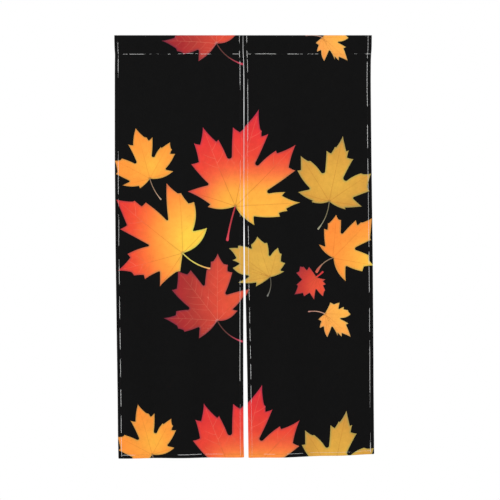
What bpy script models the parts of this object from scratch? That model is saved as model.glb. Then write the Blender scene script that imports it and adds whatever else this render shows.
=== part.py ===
# Noren curtain: two cloth panels side by side with a slit between them.
#
# Each panel is one length of cloth. Its top is folded to the back and sewn
# down as a rod pocket, its sides and foot are hemmed, and below the pocket it
# hangs in shallow upright folds that draw it in towards the foot.
#
# Metres, +Z up. The origin is on the top edge, midway across the curtain. The
# front faces -Y, and left and right are as seen from the front.

import math

import bmesh
import bpy
import numpy as np

# ---------------------------------------------------------------- dimensions

PANEL_WIDTH = 0.4318      # finished width of one panel laid flat
PANEL_LENGTH = 1.4224     # finished length laid flat, top fold to foot
POCKET_DROP = 0.0635      # top edge to the pocket's seam
POCKET_HALF_DEPTH = 0.0080  # outer half depth of the pocket where it is widest
SEAM_ALLOWANCE = 0.0040   # cloth below the pocket's seam, on the back
SEAM_GAP = 0.0006         # between the two layers where the seam holds them
CLOTH_THICKNESS = 0.0012
HEM_THICKNESS = 0.0024
HEM_WIDTH = 0.0127        # finished width of the side and foot hems
HEM_STEP = 0.0040         # over this width the hem thins to the single cloth
FOLDS_BEGIN = 0.0700      # drop at which the first folds leave the flat pocket
FOLDS_SET = 0.1700        # drop by which they have their full share
DEEPEST_FOLD = 0.0170

COLUMNS_ACROSS = 20       # cloth sections between the side hems
ROWS_DOWN = 25            # cloth sections between the pocket and the foot hem
ROWS_IN_POCKET = 6        # on each leg of the pocket
ROWS_ROUND_TOP = 3        # on each quarter of the pocket's top

# Side edges of each panel as it hangs.
# drop: below the top edge; left, right: from the curtain's middle. Millimetres.
LEFT_PANEL_EDGES = (
    # drop,  left,   right
    (0.0, -431.9, -0.5),
    (45.0, -431.2, -0.8),
    (66.0, -429.9, -0.3),
    (90.0, -430.3, 0.9),
    (150.0, -430.6, 1.4),
    (350.0, -430.6, 1.7),
    (690.0, -428.2, 0.8),
    (960.0, -424.7, 0.7),
    (1230.0, -420.9, 0.7),
    (1360.0, -419.6, 1.3),
    (1422.0, -418.2, 2.7),
)
RIGHT_PANEL_EDGES = (
    # drop, left, right
    (0.0, 0.5, 432.4),
    (45.0, 1.1, 432.0),
    (66.0, 2.1, 430.5),
    (90.0, 3.3, 429.6),
    (150.0, 4.8, 429.2),
    (220.0, 5.1, 429.7),
    (420.0, 5.0, 431.7),
    (690.0, 6.9, 435.1),
    (960.0, 11.4, 437.5),
    (1230.0, 16.8, 439.1),
    (1418.0, 19.7, 440.7),
)

# Length of each panel down its hang, top edge to foot.
# across: share of the panel's width from its left edge; length: millimetres.
LEFT_PANEL_FOOT = (
    # across, length
    (0.00, 1421.8),
    (0.30, 1420.6),
    (0.60, 1419.4),
    (0.80, 1418.6),
    (1.00, 1417.8),
)
RIGHT_PANEL_FOOT = (
    # across, length
    (0.00, 1419.4),
    (0.14, 1418.9),
    (0.38, 1416.4),
    (0.57, 1413.6),
    (0.76, 1411.2),
    (0.90, 1408.6),
    (1.00, 1406.8),
)

# Upright folds, one row each.
# top, foot: where the fold's crest is, as a share of the panel's width, under
#   the pocket and at the foot
# spread: its half width, as a share of the panel's width
# depth: its share of the panel's fold depth, towards the viewer if positive
# begins, full: drops between which it grows, in metres
LEFT_PANEL_FOLDS = (
    # top, foot, spread, depth, begins, full
    (0.10, 0.08, 0.090, 0.55, 0.45, 1.20),
    (0.29, 0.31, 0.110, -0.90, 0.20, 0.90),
    (0.53, 0.51, 0.120, 1.00, 0.12, 0.75),
    (0.77, 0.73, 0.105, -0.80, 0.15, 1.05),
    (0.95, 0.93, 0.085, 0.60, 0.30, 1.25),
)
RIGHT_PANEL_FOLDS = (
    # top, foot, spread, depth, begins, full
    (0.08, 0.11, 0.085, -0.75, 0.02, 0.50),
    (0.26, 0.30, 0.105, 1.00, 0.02, 0.60),
    (0.49, 0.54, 0.120, -0.95, 0.03, 0.70),
    (0.72, 0.75, 0.100, 0.85, 0.05, 0.95),
    (0.93, 0.94, 0.080, -0.55, 0.25, 1.20),
)

CLOTH_COLOUR = (0.0075, 0.0075, 0.0080, 1.0)
CLOTH_ROUGHNESS = 0.88


# ------------------------------------------------------------ shape functions

def ease(value):
    """0 to 1 with a level start and end."""
    value = np.clip(value, 0.0, 1.0)
    return value * value * (3.0 - 2.0 * value)


def curve(table, column, at):
    """A smooth curve through a table's column that never overshoots a row."""
    x = np.array([row[0] for row in table], dtype=float)
    y = np.array([row[column] for row in table], dtype=float)
    step = np.diff(x)
    rise = np.diff(y) / step
    slope = np.zeros(len(x))
    slope[0], slope[-1] = rise[0], rise[-1]
    for i in range(1, len(x) - 1):
        if rise[i - 1] * rise[i] > 0.0:
            before = 2.0 * step[i] + step[i - 1]
            after = step[i] + 2.0 * step[i - 1]
            slope[i] = (before + after) / (before / rise[i - 1] + after / rise[i])
    at = np.clip(np.asarray(at, dtype=float), x[0], x[-1])
    i = np.clip(np.searchsorted(x, at, side="right") - 1, 0, len(x) - 2)
    t = (at - x[i]) / step[i]
    return (y[i] * (1 + 2 * t) * (1 - t) ** 2 + y[i + 1] * t * t * (3 - 2 * t)
            + step[i] * (slope[i] * t * (1 - t) ** 2 - slope[i + 1] * t * t * (1 - t)))


class Panel:
    """One panel's hang: where a point of the flat cloth lies in space."""

    STATIONS = 41
    SAMPLES = 241

    def __init__(self, edges, foot, folds):
        self.edges, self.foot, self.folds = edges, foot, folds
        self.middle = 0.0005 * (edges[0][1] + edges[0][2])
        self.stations = np.linspace(0.0, PANEL_LENGTH, self.STATIONS)
        self.depths = np.array([self.fold_depth(d) for d in self.stations])

    def fold_shape(self, share, drop):
        """The folds' outline across the panel at one drop, for a depth of 1."""
        down = np.clip((drop - FOLDS_BEGIN) / (PANEL_LENGTH - FOLDS_BEGIN), 0.0, 1.0)
        total = np.zeros_like(share)
        for top, foot, spread, depth, begins, full in self.folds:
            crest = top + (foot - top) * ease(down)
            grown = ease((drop - begins) / (full - begins))
            total += depth * (0.15 + 0.85 * grown) * np.exp(-((share - crest) / spread) ** 2)
        return total

    def drawn_in(self, depth, drop):
        """Distance across the hanging cloth from its left edge, for each sample."""
        share = np.linspace(0.0, 1.0, self.SAMPLES)
        outline = depth * self.fold_shape(share, drop)
        across = np.diff(share) * PANEL_WIDTH
        level = np.sqrt(np.maximum(across ** 2 - np.diff(outline) ** 2, (0.2 * across) ** 2))
        return np.concatenate(([0.0], np.cumsum(level)))

    def fold_depth(self, drop):
        """The depth at which the folds take up the width that the hang loses."""
        wanted = 0.001 * (curve(self.edges, 2, drop * 1000.0) - curve(self.edges, 1, drop * 1000.0))
        low, high = 0.0, DEEPEST_FOLD
        if self.drawn_in(low, drop)[-1] <= wanted:
            return 0.0
        for _ in range(40):
            middle = 0.5 * (low + high)
            if self.drawn_in(middle, drop)[-1] > wanted:
                low = middle
            else:
                high = middle
        return 0.5 * (low + high)

    def depth_at(self, drop):
        set_in = ease((drop - FOLDS_BEGIN) / (FOLDS_SET - FOLDS_BEGIN))
        return float(np.interp(drop, self.stations, self.depths) * set_in)

    def hem(self, share, drop):
        """1 on a hem, 0 on the single cloth."""
        side = min(share, 1.0 - share) * PANEL_WIDTH
        from_edge = min(side, PANEL_LENGTH - drop)
        return 0.0 if from_edge > HEM_WIDTH + 0.5 * HEM_STEP else 1.0

    def thickness(self, share, drop):
        return CLOTH_THICKNESS + (HEM_THICKNESS - CLOTH_THICKNESS) * self.hem(share, drop)

    def across(self, share, drop):
        left, right = (0.001 * float(curve(self.edges, c, drop * 1000.0)) for c in (1, 2))
        reach = self.drawn_in(self.depth_at(drop), drop)
        part = np.interp(share, np.linspace(0.0, 1.0, self.SAMPLES), reach) / reach[-1]
        return left + (right - left) * float(part)

    def place(self, share, along):
        """The outer face at a share of the width and a distance along the cloth.

        The distance runs from the top fold: down the front if positive, down
        the back of the pocket if negative.
        """
        radius = POCKET_HALF_DEPTH
        quarter = 0.5 * math.pi * radius
        side = -1.0 if along > 0.0 else 1.0
        if abs(along) <= quarter:
            turn = abs(along) / radius
            drop = radius * (1.0 - math.cos(turn))
            return (self.across(share, drop), side * radius * math.sin(turn), -drop)
        drop = radius + abs(along) - quarter
        open_share = 1.0 - float(ease((drop - radius) / (POCKET_DROP - radius)))
        if side > 0.0:
            closed = 2.0 * self.thickness(share, drop) + SEAM_GAP
            depth = radius * open_share + closed * (1.0 - open_share)
            return (self.across(share, drop), depth, -drop)
        fold = self.depth_at(drop) * float(self.fold_shape(np.array([share]), drop)[0])
        depth = -radius * open_share - fold
        low = max(drop - POCKET_DROP, 0.0)
        length = 0.001 * float(curve(self.foot, 1, share))
        fallen = min(drop, POCKET_DROP) + low * (length - POCKET_DROP) / (PANEL_LENGTH - POCKET_DROP)
        return (self.across(share, drop), depth, -fallen)


def along_front(drop):
    """Distance along the cloth from the top fold to a drop below the fold."""
    return drop - POCKET_HALF_DEPTH + 0.5 * math.pi * POCKET_HALF_DEPTH


def panel_columns():
    """Shares of the width at which the cloth's sections meet, left to right."""
    hem = [0.0, HEM_WIDTH / PANEL_WIDTH, (HEM_WIDTH + HEM_STEP) / PANEL_WIDTH]
    inner = np.linspace(hem[-1], 1.0 - hem[-1], COLUMNS_ACROSS + 1)[1:-1]
    return hem + list(inner) + [1.0 - share for share in reversed(hem)]


def panel_rows():
    """Distances along the cloth at which its sections meet, foot to back."""
    quarter = 0.5 * math.pi * POCKET_HALF_DEPTH
    leg = [along_front(d) for d in np.linspace(POCKET_HALF_DEPTH, POCKET_DROP, ROWS_IN_POCKET + 1)]
    top = list(np.linspace(quarter, -quarter, 2 * ROWS_ROUND_TOP + 1))
    body = [along_front(d) for d in np.linspace(
        POCKET_DROP + SEAM_ALLOWANCE, PANEL_LENGTH - HEM_WIDTH - HEM_STEP, ROWS_DOWN + 1)]
    foot = [along_front(PANEL_LENGTH), along_front(PANEL_LENGTH - HEM_WIDTH)]
    back = [-distance for distance in leg[1:]] + [-along_front(POCKET_DROP + SEAM_ALLOWANCE)]
    return foot + body[::-1] + leg[:0:-1] + top + back


# ----------------------------------------------------------------- modelling

def fresh_collection(name):
    collection = bpy.data.collections.new(name)
    bpy.context.scene.collection.children.link(collection)
    return collection


def sheet_object(name, columns, rows, place, weight, collection, origin):
    """A grid of cloth sections carried to its place in space."""
    bm = bmesh.new()
    bmesh.ops.create_grid(bm, x_segments=len(columns) - 1, y_segments=len(rows) - 1, size=0.5)
    heavy = []
    for vert in bm.verts:
        i = round((vert.co.x + 0.5) * (len(columns) - 1))
        j = round((vert.co.y + 0.5) * (len(rows) - 1))
        heavy.append(weight(columns[i], rows[j]))
        vert.co = [a - b for a, b in zip(place(columns[i], rows[j]), origin)]
    mesh = bpy.data.meshes.new(name)
    bm.to_mesh(mesh)
    bm.free()
    obj = bpy.data.objects.new(name, mesh)
    obj.location = origin
    collection.objects.link(obj)
    group = obj.vertex_groups.new(name="thick")
    for index, value in enumerate(heavy):
        group.add([index], value, "REPLACE")
    return obj


def thicken(obj, thickest, thinnest):
    solid = obj.modifiers.new("cloth", "SOLIDIFY")
    solid.thickness = thickest
    solid.offset = -1.0
    solid.use_even_offset = True
    solid.use_quality_normals = True
    solid.use_rim = True
    solid.vertex_group = "thick"
    solid.thickness_vertex_group = thinnest / thickest
    return solid


def cloth_material(name):
    material = bpy.data.materials.new(name)
    material.use_nodes = True
    shader = material.node_tree.nodes["Principled BSDF"]
    shader.inputs["Base Color"].default_value = CLOTH_COLOUR
    shader.inputs["Roughness"].default_value = CLOTH_ROUGHNESS
    shader.inputs["Metallic"].default_value = 0.0
    material.diffuse_color = CLOTH_COLOUR
    return material


def make_seam(name, panel, collection, origin):
    """The sewn line that joins the pocket's two layers, from core to core."""
    inset = 0.0012
    before, past = HEM_WIDTH - 0.001, HEM_WIDTH + HEM_STEP + 0.001
    edge = [inset, before, past]
    columns = [d / PANEL_WIDTH for d in edge] + [1.0 - d / PANEL_WIDTH for d in reversed(edge)]
    rows = [POCKET_DROP + SEAM_ALLOWANCE + 0.0006, POCKET_DROP - 0.0009]

    def on_hem(share):
        return min(share, 1.0 - share) * PANEL_WIDTH < HEM_WIDTH

    def place(share, drop):
        thick = HEM_THICKNESS if on_hem(share) else CLOTH_THICKNESS
        return (panel.across(share, drop), 0.5 * thick, -drop)

    seam = sheet_object(name, columns, rows, place, lambda share, drop: float(on_hem(share)),
                        collection, origin)
    thicken(seam, HEM_THICKNESS + SEAM_GAP, CLOTH_THICKNESS + SEAM_GAP)
    return seam


def make_panel(name, panel, material, parent, parts, cutters):
    origin = (panel.middle, 0.0, 0.0)

    def weight(share, along):
        return panel.hem(share, along_front_drop(along))

    obj = sheet_object(name, panel_columns(), panel_rows(), panel.place, weight, parts, origin)
    thicken(obj, HEM_THICKNESS, CLOTH_THICKNESS)
    seam = make_seam(name + "_seam", panel, cutters, origin)
    seam.hide_render = True
    seam.display_type = "WIRE"
    join = obj.modifiers.new("pocket seam", "BOOLEAN")
    join.operation = "UNION"
    join.solver = "EXACT"
    join.object = seam
    obj.data.materials.append(material)
    for polygon in obj.data.polygons:
        polygon.use_smooth = True
    obj.parent = parent
    seam.parent = parent
    return obj


def along_front_drop(along):
    """The drop below the top fold at a distance along the cloth."""
    quarter = 0.5 * math.pi * POCKET_HALF_DEPTH
    if abs(along) <= quarter:
        return POCKET_HALF_DEPTH * (1.0 - math.cos(abs(along) / POCKET_HALF_DEPTH))
    return POCKET_HALF_DEPTH + abs(along) - quarter


def build():
    for old in list(bpy.data.objects):
        bpy.data.objects.remove(old, do_unlink=True)
    parts = fresh_collection("noren_curtain")
    cutters = fresh_collection("noren_curtain_cutters")
    hang = bpy.data.objects.new("top_edge", None)
    hang.empty_display_size = 0.05
    parts.objects.link(hang)
    left = Panel(LEFT_PANEL_EDGES, LEFT_PANEL_FOOT, LEFT_PANEL_FOLDS)
    right = Panel(RIGHT_PANEL_EDGES, RIGHT_PANEL_FOOT, RIGHT_PANEL_FOLDS)
    make_panel("panel_left", left, cloth_material("printed_cloth_left"), hang, parts, cutters)
    make_panel("panel_right", right, cloth_material("printed_cloth_right"), hang, parts, cutters)


build()
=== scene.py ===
# The look of the noren curtain: two printed cloth panels with sewn hems.
#
# Each panel is one closed thin shell of cloth on the folds of its solid. It is
# laid out flat first, as the cloth was cut and printed, and each point of the
# flat cloth is then carried to where it hangs. The print is a scatter of
# ordinary maple leaves, each drawn by rule from its lobes: how each one turns,
# how far it reaches and where its teeth stand.
#
# Metres, +Z up, front facing -Y. Left and right are as seen from the front.

import math

import bmesh
import bpy
import numpy as np
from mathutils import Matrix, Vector
from mathutils.geometry import delaunay_2d_cdt
from mathutils.kdtree import KDTree


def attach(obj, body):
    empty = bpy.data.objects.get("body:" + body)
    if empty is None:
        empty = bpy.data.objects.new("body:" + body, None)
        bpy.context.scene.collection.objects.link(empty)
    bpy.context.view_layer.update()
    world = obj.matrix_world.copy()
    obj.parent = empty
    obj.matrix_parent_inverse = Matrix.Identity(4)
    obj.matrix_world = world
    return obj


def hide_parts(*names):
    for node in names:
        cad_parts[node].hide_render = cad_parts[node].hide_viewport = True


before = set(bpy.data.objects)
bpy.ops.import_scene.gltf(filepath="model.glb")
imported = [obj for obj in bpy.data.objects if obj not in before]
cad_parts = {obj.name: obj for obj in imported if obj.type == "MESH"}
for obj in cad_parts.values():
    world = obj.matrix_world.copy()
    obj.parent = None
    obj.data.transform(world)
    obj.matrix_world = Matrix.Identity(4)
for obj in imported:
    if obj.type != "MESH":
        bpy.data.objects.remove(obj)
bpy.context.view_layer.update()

# ------------------------------------------------ the hang, as in the solids

PANEL_WIDTH = 0.4318
PANEL_LENGTH = 1.4224
POCKET_DROP = 0.0635
POCKET_HALF_DEPTH = 0.0080
SEAM_ALLOWANCE = 0.0040
FOLDS_BEGIN = 0.0700
FOLDS_SET = 0.1700
DEEPEST_FOLD = 0.0170

# drop, left, right, in millimetres
LEFT_PANEL_EDGES = (
    (0.0, -431.9, -0.5),
    (45.0, -431.2, -0.8),
    (66.0, -429.9, -0.3),
    (90.0, -430.3, 0.9),
    (150.0, -430.6, 1.4),
    (350.0, -430.6, 1.7),
    (690.0, -428.2, 0.8),
    (960.0, -424.7, 0.7),
    (1230.0, -420.9, 0.7),
    (1360.0, -419.6, 1.3),
    (1422.0, -418.2, 2.7),
)
RIGHT_PANEL_EDGES = (
    (0.0, 0.5, 432.4),
    (45.0, 1.1, 432.0),
    (66.0, 2.1, 430.5),
    (90.0, 3.3, 429.6),
    (150.0, 4.8, 429.2),
    (220.0, 5.1, 429.7),
    (420.0, 5.0, 431.7),
    (690.0, 6.9, 435.1),
    (960.0, 11.4, 437.5),
    (1230.0, 16.8, 439.1),
    (1418.0, 19.7, 440.7),
)
# share of the width, length down the hang in millimetres
LEFT_PANEL_FOOT = (
    (0.00, 1421.8), (0.30, 1420.6), (0.60, 1419.4), (0.80, 1418.6), (1.00, 1417.8),
)
RIGHT_PANEL_FOOT = (
    (0.00, 1419.4), (0.14, 1418.9), (0.38, 1416.4), (0.57, 1413.6), (0.76, 1411.2),
    (0.90, 1408.6), (1.00, 1406.8),
)
# top, foot, spread, depth, begins, full
LEFT_PANEL_FOLDS = (
    (0.10, 0.08, 0.090, 0.55, 0.45, 1.20),
    (0.29, 0.31, 0.110, -0.90, 0.20, 0.90),
    (0.53, 0.51, 0.120, 1.00, 0.12, 0.75),
    (0.77, 0.73, 0.105, -0.80, 0.15, 1.05),
    (0.95, 0.93, 0.085, 0.60, 0.30, 1.25),
)
RIGHT_PANEL_FOLDS = (
    (0.08, 0.11, 0.085, -0.75, 0.02, 0.50),
    (0.26, 0.30, 0.105, 1.00, 0.02, 0.60),
    (0.49, 0.54, 0.120, -0.95, 0.03, 0.70),
    (0.72, 0.75, 0.100, 0.85, 0.05, 0.95),
    (0.93, 0.94, 0.080, -0.55, 0.25, 1.20),
)

# --------------------------------------------------------- the visible cloth

CLOTH = 0.00045           # one layer
HEM = 0.00135             # three layers, where an edge is turned twice
TURNED = 0.00090          # two layers, where the pocket's raw edge is tucked in
HEM_WIDTH = 0.0138
TUCK_WIDTH = 0.0127       # the pocket's tucked edge
HEM_RISE = 0.00028        # how far a hem stands proud of the single cloth, in front
GROOVE = 0.00022          # how far a line of stitches sinks in
GROOVE_WIDTH = 0.0011
CORNER = 0.0022           # rounding of the foot's corners
MESH_STEP = 0.0060        # between the cloth's points
EDGE_ROUND = 0.0005       # how far a folded edge stands out from its two faces
QUARTER = 0.5 * math.pi * POCKET_HALF_DEPTH
SHIFT = QUARTER - POCKET_HALF_DEPTH      # distance along the cloth less drop, past the top
FRONT_END = PANEL_LENGTH + SHIFT
BACK_END = POCKET_DROP + SEAM_ALLOWANCE + SHIFT

REPEAT = 931.0            # the print's repeat down the cloth, in millimetres

# The solids keep clear of each other at the slit. The thin cloth hangs closer:
# drop, and how much further each panel's slit edge stands out, in millimetres.
SLIT_CLOSED = (
    (0.0, 0.25), (45.0, 0.50), (66.0, 0.65), (110.0, 0.78), (156.0, 0.85), (197.0, 0.98),
    (237.0, 0.78), (277.0, 0.80), (318.0, 1.03), (400.0, 1.12), (440.0, 1.02), (479.0, 1.40),
    (520.0, 1.26), (600.0, 1.36), (680.0, 0.95), (760.0, 1.45), (840.0, 1.20), (925.0, 0.95),
    (1120.0, 0.75), (1250.0, 1.20), (1422.0, 1.20),
)

# Lines of stitches, in metres from the panel's own edges. rise is where the
# pocket's line runs high: millimetres across, and millimetres up.
LEFT_PANEL_STITCH = {"outer": 0.0115, "inner": 0.0117, "foot": 0.0118, "seam": 0.0002,
                      "rise": ((0.0, 0.0), (190.0, 0.2), (258.0, 3.0), (300.0, 0.6), (432.0, 0.4))}
RIGHT_PANEL_STITCH = {"inner": 0.0123, "outer": 0.0124, "foot": 0.0118, "seam": -0.0006,
                       "rise": ((0.0, 0.0), (432.0, 0.0))}


# ------------------------------------------------------------ plain functions

def ease(value):
    value = np.clip(value, 0.0, 1.0)
    return value * value * (3.0 - 2.0 * value)


def curve(table, column, at):
    """A smooth curve through a table's column that never overshoots a row."""
    x = np.array([row[0] for row in table], dtype=float)
    y = np.array([row[column] for row in table], dtype=float)
    step = np.diff(x)
    rise = np.diff(y) / step
    slope = np.zeros(len(x))
    slope[0], slope[-1] = rise[0], rise[-1]
    for i in range(1, len(x) - 1):
        if rise[i - 1] * rise[i] > 0.0:
            before = 2.0 * step[i] + step[i - 1]
            after = step[i] + 2.0 * step[i - 1]
            slope[i] = (before + after) / (before / rise[i - 1] + after / rise[i])
    at = np.clip(np.asarray(at, dtype=float), x[0], x[-1])
    i = np.clip(np.searchsorted(x, at, side="right") - 1, 0, len(x) - 2)
    t = (at - x[i]) / step[i]
    return (y[i] * (1 + 2 * t) * (1 - t) ** 2 + y[i + 1] * t * t * (3 - 2 * t)
            + step[i] * (slope[i] * t * (1 - t) ** 2 - slope[i + 1] * t * t * (1 - t)))


def ripple(at, seed):
    """An uneven wave between about -1 and 1; one crest for each unit of at."""
    a = 2.0 * math.pi * np.asarray(at, dtype=float)
    return (0.55 * np.sin(a + 1.7 * seed + 0.9 * np.sin(0.31 * a + seed))
            + 0.30 * np.sin(0.61 * a + 2.3 * seed) + 0.25 * np.sin(1.83 * a + 4.1 * seed))


def chance(*keys):
    """A fixed number from 0 to 1 for these keys."""
    total = 0.0
    for n, key in enumerate(keys):
        total += math.sin(key * (12.9898 + 7.13 * n) + 78.233 * n) * 43758.5453
    return total - math.floor(total)


def linear(*srgb):
    """A colour given as 0 to 255 on the screen, as the light it stands for."""
    value = np.array(srgb, dtype=float) / 255.0
    return np.where(value <= 0.04045, value / 12.92, ((value + 0.055) / 1.055) ** 2.4)


# ---------------------------------------------------------------- one panel

class Panel:
    """Where a point of one panel's flat cloth lies as it hangs.

    u runs across the flat cloth from its left edge. v runs along it from the
    top fold: down the front if positive, down the pocket's back if negative.
    """

    SAMPLES = 241
    STATIONS = 41
    DROPS = 361

    def __init__(self, name, edges, foot, folds, stitch, left_is_outer, seed):
        self.name, self.edges, self.foot, self.folds = name, edges, foot, folds
        self.stitch, self.seed = stitch, seed
        self.stitch_left = stitch["outer"] if left_is_outer else stitch["inner"]
        self.stitch_right = stitch["inner"] if left_is_outer else stitch["outer"]
        self.left_is_outer = left_is_outer
        self.print_from = 0.0 if left_is_outer else PANEL_WIDTH * 1000.0
        self.stations = np.linspace(0.0, PANEL_LENGTH, self.STATIONS)
        self.depths = np.array([self.fold_depth(d) for d in self.stations])
        drops = np.linspace(0.0, PANEL_LENGTH, self.DROPS)
        share = np.linspace(0.0, 1.0, self.SAMPLES)
        self.grid_x = np.empty((self.DROPS, self.SAMPLES))
        self.grid_fold = np.empty((self.DROPS, self.SAMPLES))
        for k, drop in enumerate(drops):
            set_in = ease((drop - FOLDS_BEGIN) / (FOLDS_SET - FOLDS_BEGIN))
            depth = float(np.interp(drop, self.stations, self.depths) * set_in)
            reach = self.drawn_in(depth, drop)
            left, right = (0.001 * float(curve(edges, c, drop * 1000.0)) for c in (1, 2))
            closed = 0.001 * float(curve(SLIT_CLOSED, 1, drop * 1000.0))
            left, right = (left, right + closed) if left_is_outer else (left - closed, right)
            self.grid_x[k] = left + (right - left) * reach / reach[-1]
            self.grid_fold[k] = depth * self.fold_shape(share, drop)

    def fold_shape(self, share, drop):
        down = np.clip((drop - FOLDS_BEGIN) / (PANEL_LENGTH - FOLDS_BEGIN), 0.0, 1.0)
        total = np.zeros_like(share)
        for top, foot, spread, depth, begins, full in self.folds:
            crest = top + (foot - top) * ease(down)
            grown = ease((drop - begins) / (full - begins))
            total += depth * (0.15 + 0.85 * grown) * np.exp(-((share - crest) / spread) ** 2)
        return total

    def drawn_in(self, depth, drop):
        share = np.linspace(0.0, 1.0, self.SAMPLES)
        outline = depth * self.fold_shape(share, drop)
        across = np.diff(share) * PANEL_WIDTH
        level = np.sqrt(np.maximum(across ** 2 - np.diff(outline) ** 2, (0.2 * across) ** 2))
        return np.concatenate(([0.0], np.cumsum(level)))

    def fold_depth(self, drop):
        wanted = 0.001 * (curve(self.edges, 2, drop * 1000.0) - curve(self.edges, 1, drop * 1000.0))
        low, high = 0.0, DEEPEST_FOLD
        if self.drawn_in(low, drop)[-1] <= wanted:
            return 0.0
        for _ in range(40):
            middle = 0.5 * (low + high)
            if self.drawn_in(middle, drop)[-1] > wanted:
                low = middle
            else:
                high = middle
        return 0.5 * (low + high)

    def read(self, grid, share, drop):
        """A value of one of the grids, between its samples."""
        a = np.clip(share, 0.0, 1.0) * (self.SAMPLES - 1)
        b = np.clip(drop / PANEL_LENGTH, 0.0, 1.0) * (self.DROPS - 1)
        i = np.minimum(a.astype(int), self.SAMPLES - 2)
        k = np.minimum(b.astype(int), self.DROPS - 2)
        a, b = a - i, b - k
        return ((grid[k, i] * (1 - a) + grid[k, i + 1] * a) * (1 - b)
                + (grid[k + 1, i] * (1 - a) + grid[k + 1, i + 1] * a) * b)

    def length(self, share):
        return 0.001 * curve(self.foot, 1, share)

    # The print's own coordinates are millimetres across both panels from the
    # left edge, and millimetres below the top edge as the curtain hangs.

    def flat_of(self, across, down):
        u = 0.001 * (across - self.print_from)
        down = 0.001 * down
        length = self.length(np.clip(u / PANEL_WIDTH, 0.0, 1.0))
        drop = np.where(down > POCKET_DROP, POCKET_DROP + (down - POCKET_DROP)
                        * (PANEL_LENGTH - POCKET_DROP) / (length - POCKET_DROP), down)
        return u, drop + SHIFT

    def print_of(self, u, v):
        length = self.length(np.clip(u / PANEL_WIDTH, 0.0, 1.0))
        drop = v - SHIFT
        down = np.where(drop > POCKET_DROP, POCKET_DROP + (drop - POCKET_DROP)
                        * (length - POCKET_DROP) / (PANEL_LENGTH - POCKET_DROP), drop)
        return 1000.0 * u + self.print_from, 1000.0 * down

    def drop_at(self, v):
        turn = np.abs(v) / POCKET_HALF_DEPTH
        arc = POCKET_HALF_DEPTH * (1.0 - np.cos(np.minimum(turn, 0.5 * math.pi)))
        return np.where(np.abs(v) <= QUARTER, arc, np.abs(v) - SHIFT)

    def stitch_line(self, side, v):
        """Distance of a side's stitches from that edge, which wanders a little."""
        base = self.stitch_left if side == "left" else self.stitch_right
        return base + 0.00035 * ripple(v / 0.21, self.seed + (0.3 if side == "left" else 2.1))

    def foot_line(self, u):
        return self.stitch["foot"] + 0.00035 * ripple(u / 0.17, self.seed + 4.4)

    def seam_line(self, u):
        """Drop of the pocket's stitches."""
        rise = 0.001 * curve(self.stitch["rise"], 1, 1000.0 * u)
        return POCKET_DROP + self.stitch["seam"] - rise + 0.00040 * ripple(
            u / 0.19, self.seed + 6.2)

    def relief(self, u, drop):
        """Small unevenness of the hanging cloth, towards the viewer if positive."""
        side = np.minimum(u, PANEL_WIDTH - u)
        below = PANEL_LENGTH - drop
        quiet = ease(drop / 0.045)
        total = 0.00042 * np.exp(-np.abs(drop - POCKET_DROP) / 0.030) * ripple(u / 0.031, self.seed)
        total = total + 0.00055 * np.exp(-np.maximum(drop - POCKET_DROP, 0.0) / 0.16) * ease(
            (drop - POCKET_DROP) / 0.03) * ripple(u / 0.083 + 0.35 * drop, self.seed + 1.3)
        for edge, seed in ((u, 0.4), (PANEL_WIDTH - u, 1.9)):
            near = np.exp(-np.maximum(edge, 0.0) / 0.016)
            total = total + 0.00038 * near * ripple(drop / 0.043, self.seed + seed)
            wide = np.exp(-np.maximum(edge, 0.0) / 0.050) * ease((drop - 0.10) / 0.2)
            total = total + 0.00110 * wide * ripple(drop / 0.27, self.seed + 3.0 * seed)
        near = np.exp(-np.maximum(below, 0.0) / 0.045)
        total = total + 0.00100 * near * ripple(u / 0.098, self.seed + 5.2)
        total = total + 0.00035 * np.exp(-np.maximum(below, 0.0) / 0.018) * ripple(
            u / 0.037, self.seed + 7.7)
        for across, down, wide, tall, lean, height in CREASES[self.name]:
            a = u / PANEL_WIDTH - across - lean * (drop / PANEL_LENGTH - down)
            total = total + 0.001 * height * np.exp(
                -(a / wide) ** 2 - ((drop / PANEL_LENGTH - down) / tall) ** 2)
        hem = np.maximum(1.0 - ease((side - HEM_WIDTH + 0.0002) / 0.0016),
                         1.0 - ease((below - HEM_WIDTH + 0.0002) / 0.0016))
        return quiet * total + HEM_RISE * hem * quiet

    def sunk(self, u, v):
        """How far the stitches draw the cloth in at a point, on either face."""
        drop = self.drop_at(v)
        left = np.abs(u - self.stitch_line("left", v))
        right = np.abs(PANEL_WIDTH - u - self.stitch_line("right", v))
        near = np.minimum(left, right)
        near = np.where(v > 0.0, np.minimum(near, np.abs(FRONT_END - v - self.foot_line(u))), near)
        near = np.minimum(near, np.abs(drop - self.seam_line(u)))
        return GROOVE * np.exp(-(near / GROOVE_WIDTH) ** 2)

    def thickness(self, u, v):
        side = np.minimum(u, PANEL_WIDTH - u)
        hem = 1.0 - ease((side - HEM_WIDTH) / 0.0007)
        foot = 1.0 - ease((FRONT_END - v - HEM_WIDTH) / 0.0007)
        tuck = 1.0 - ease((v + BACK_END - TUCK_WIDTH) / 0.0007)
        layers = np.maximum(hem, foot) * (HEM - CLOTH)
        return CLOTH + np.maximum(layers, tuck * (TURNED - CLOTH))

    def rounded(self, u, v):
        """The foot's corners drawn in to a small round."""
        for flip in (False, True):
            side = PANEL_WIDTH - u if flip else u
            a = 1.0 - side / CORNER
            b = 1.0 - (FRONT_END - v) / CORNER
            inside = (a > 0.0) & (b > 0.0)
            a, b = np.maximum(a, 1e-9), np.maximum(b, 1e-9)
            shrink = np.where(inside, np.maximum(a, b) / np.hypot(a, b), 1.0)
            new_side = np.where(inside, CORNER * (1.0 - a * shrink), side)
            v = np.where(inside, FRONT_END - CORNER * (1.0 - b * shrink), v)
            u = PANEL_WIDTH - new_side if flip else new_side
        return u, v

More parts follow.
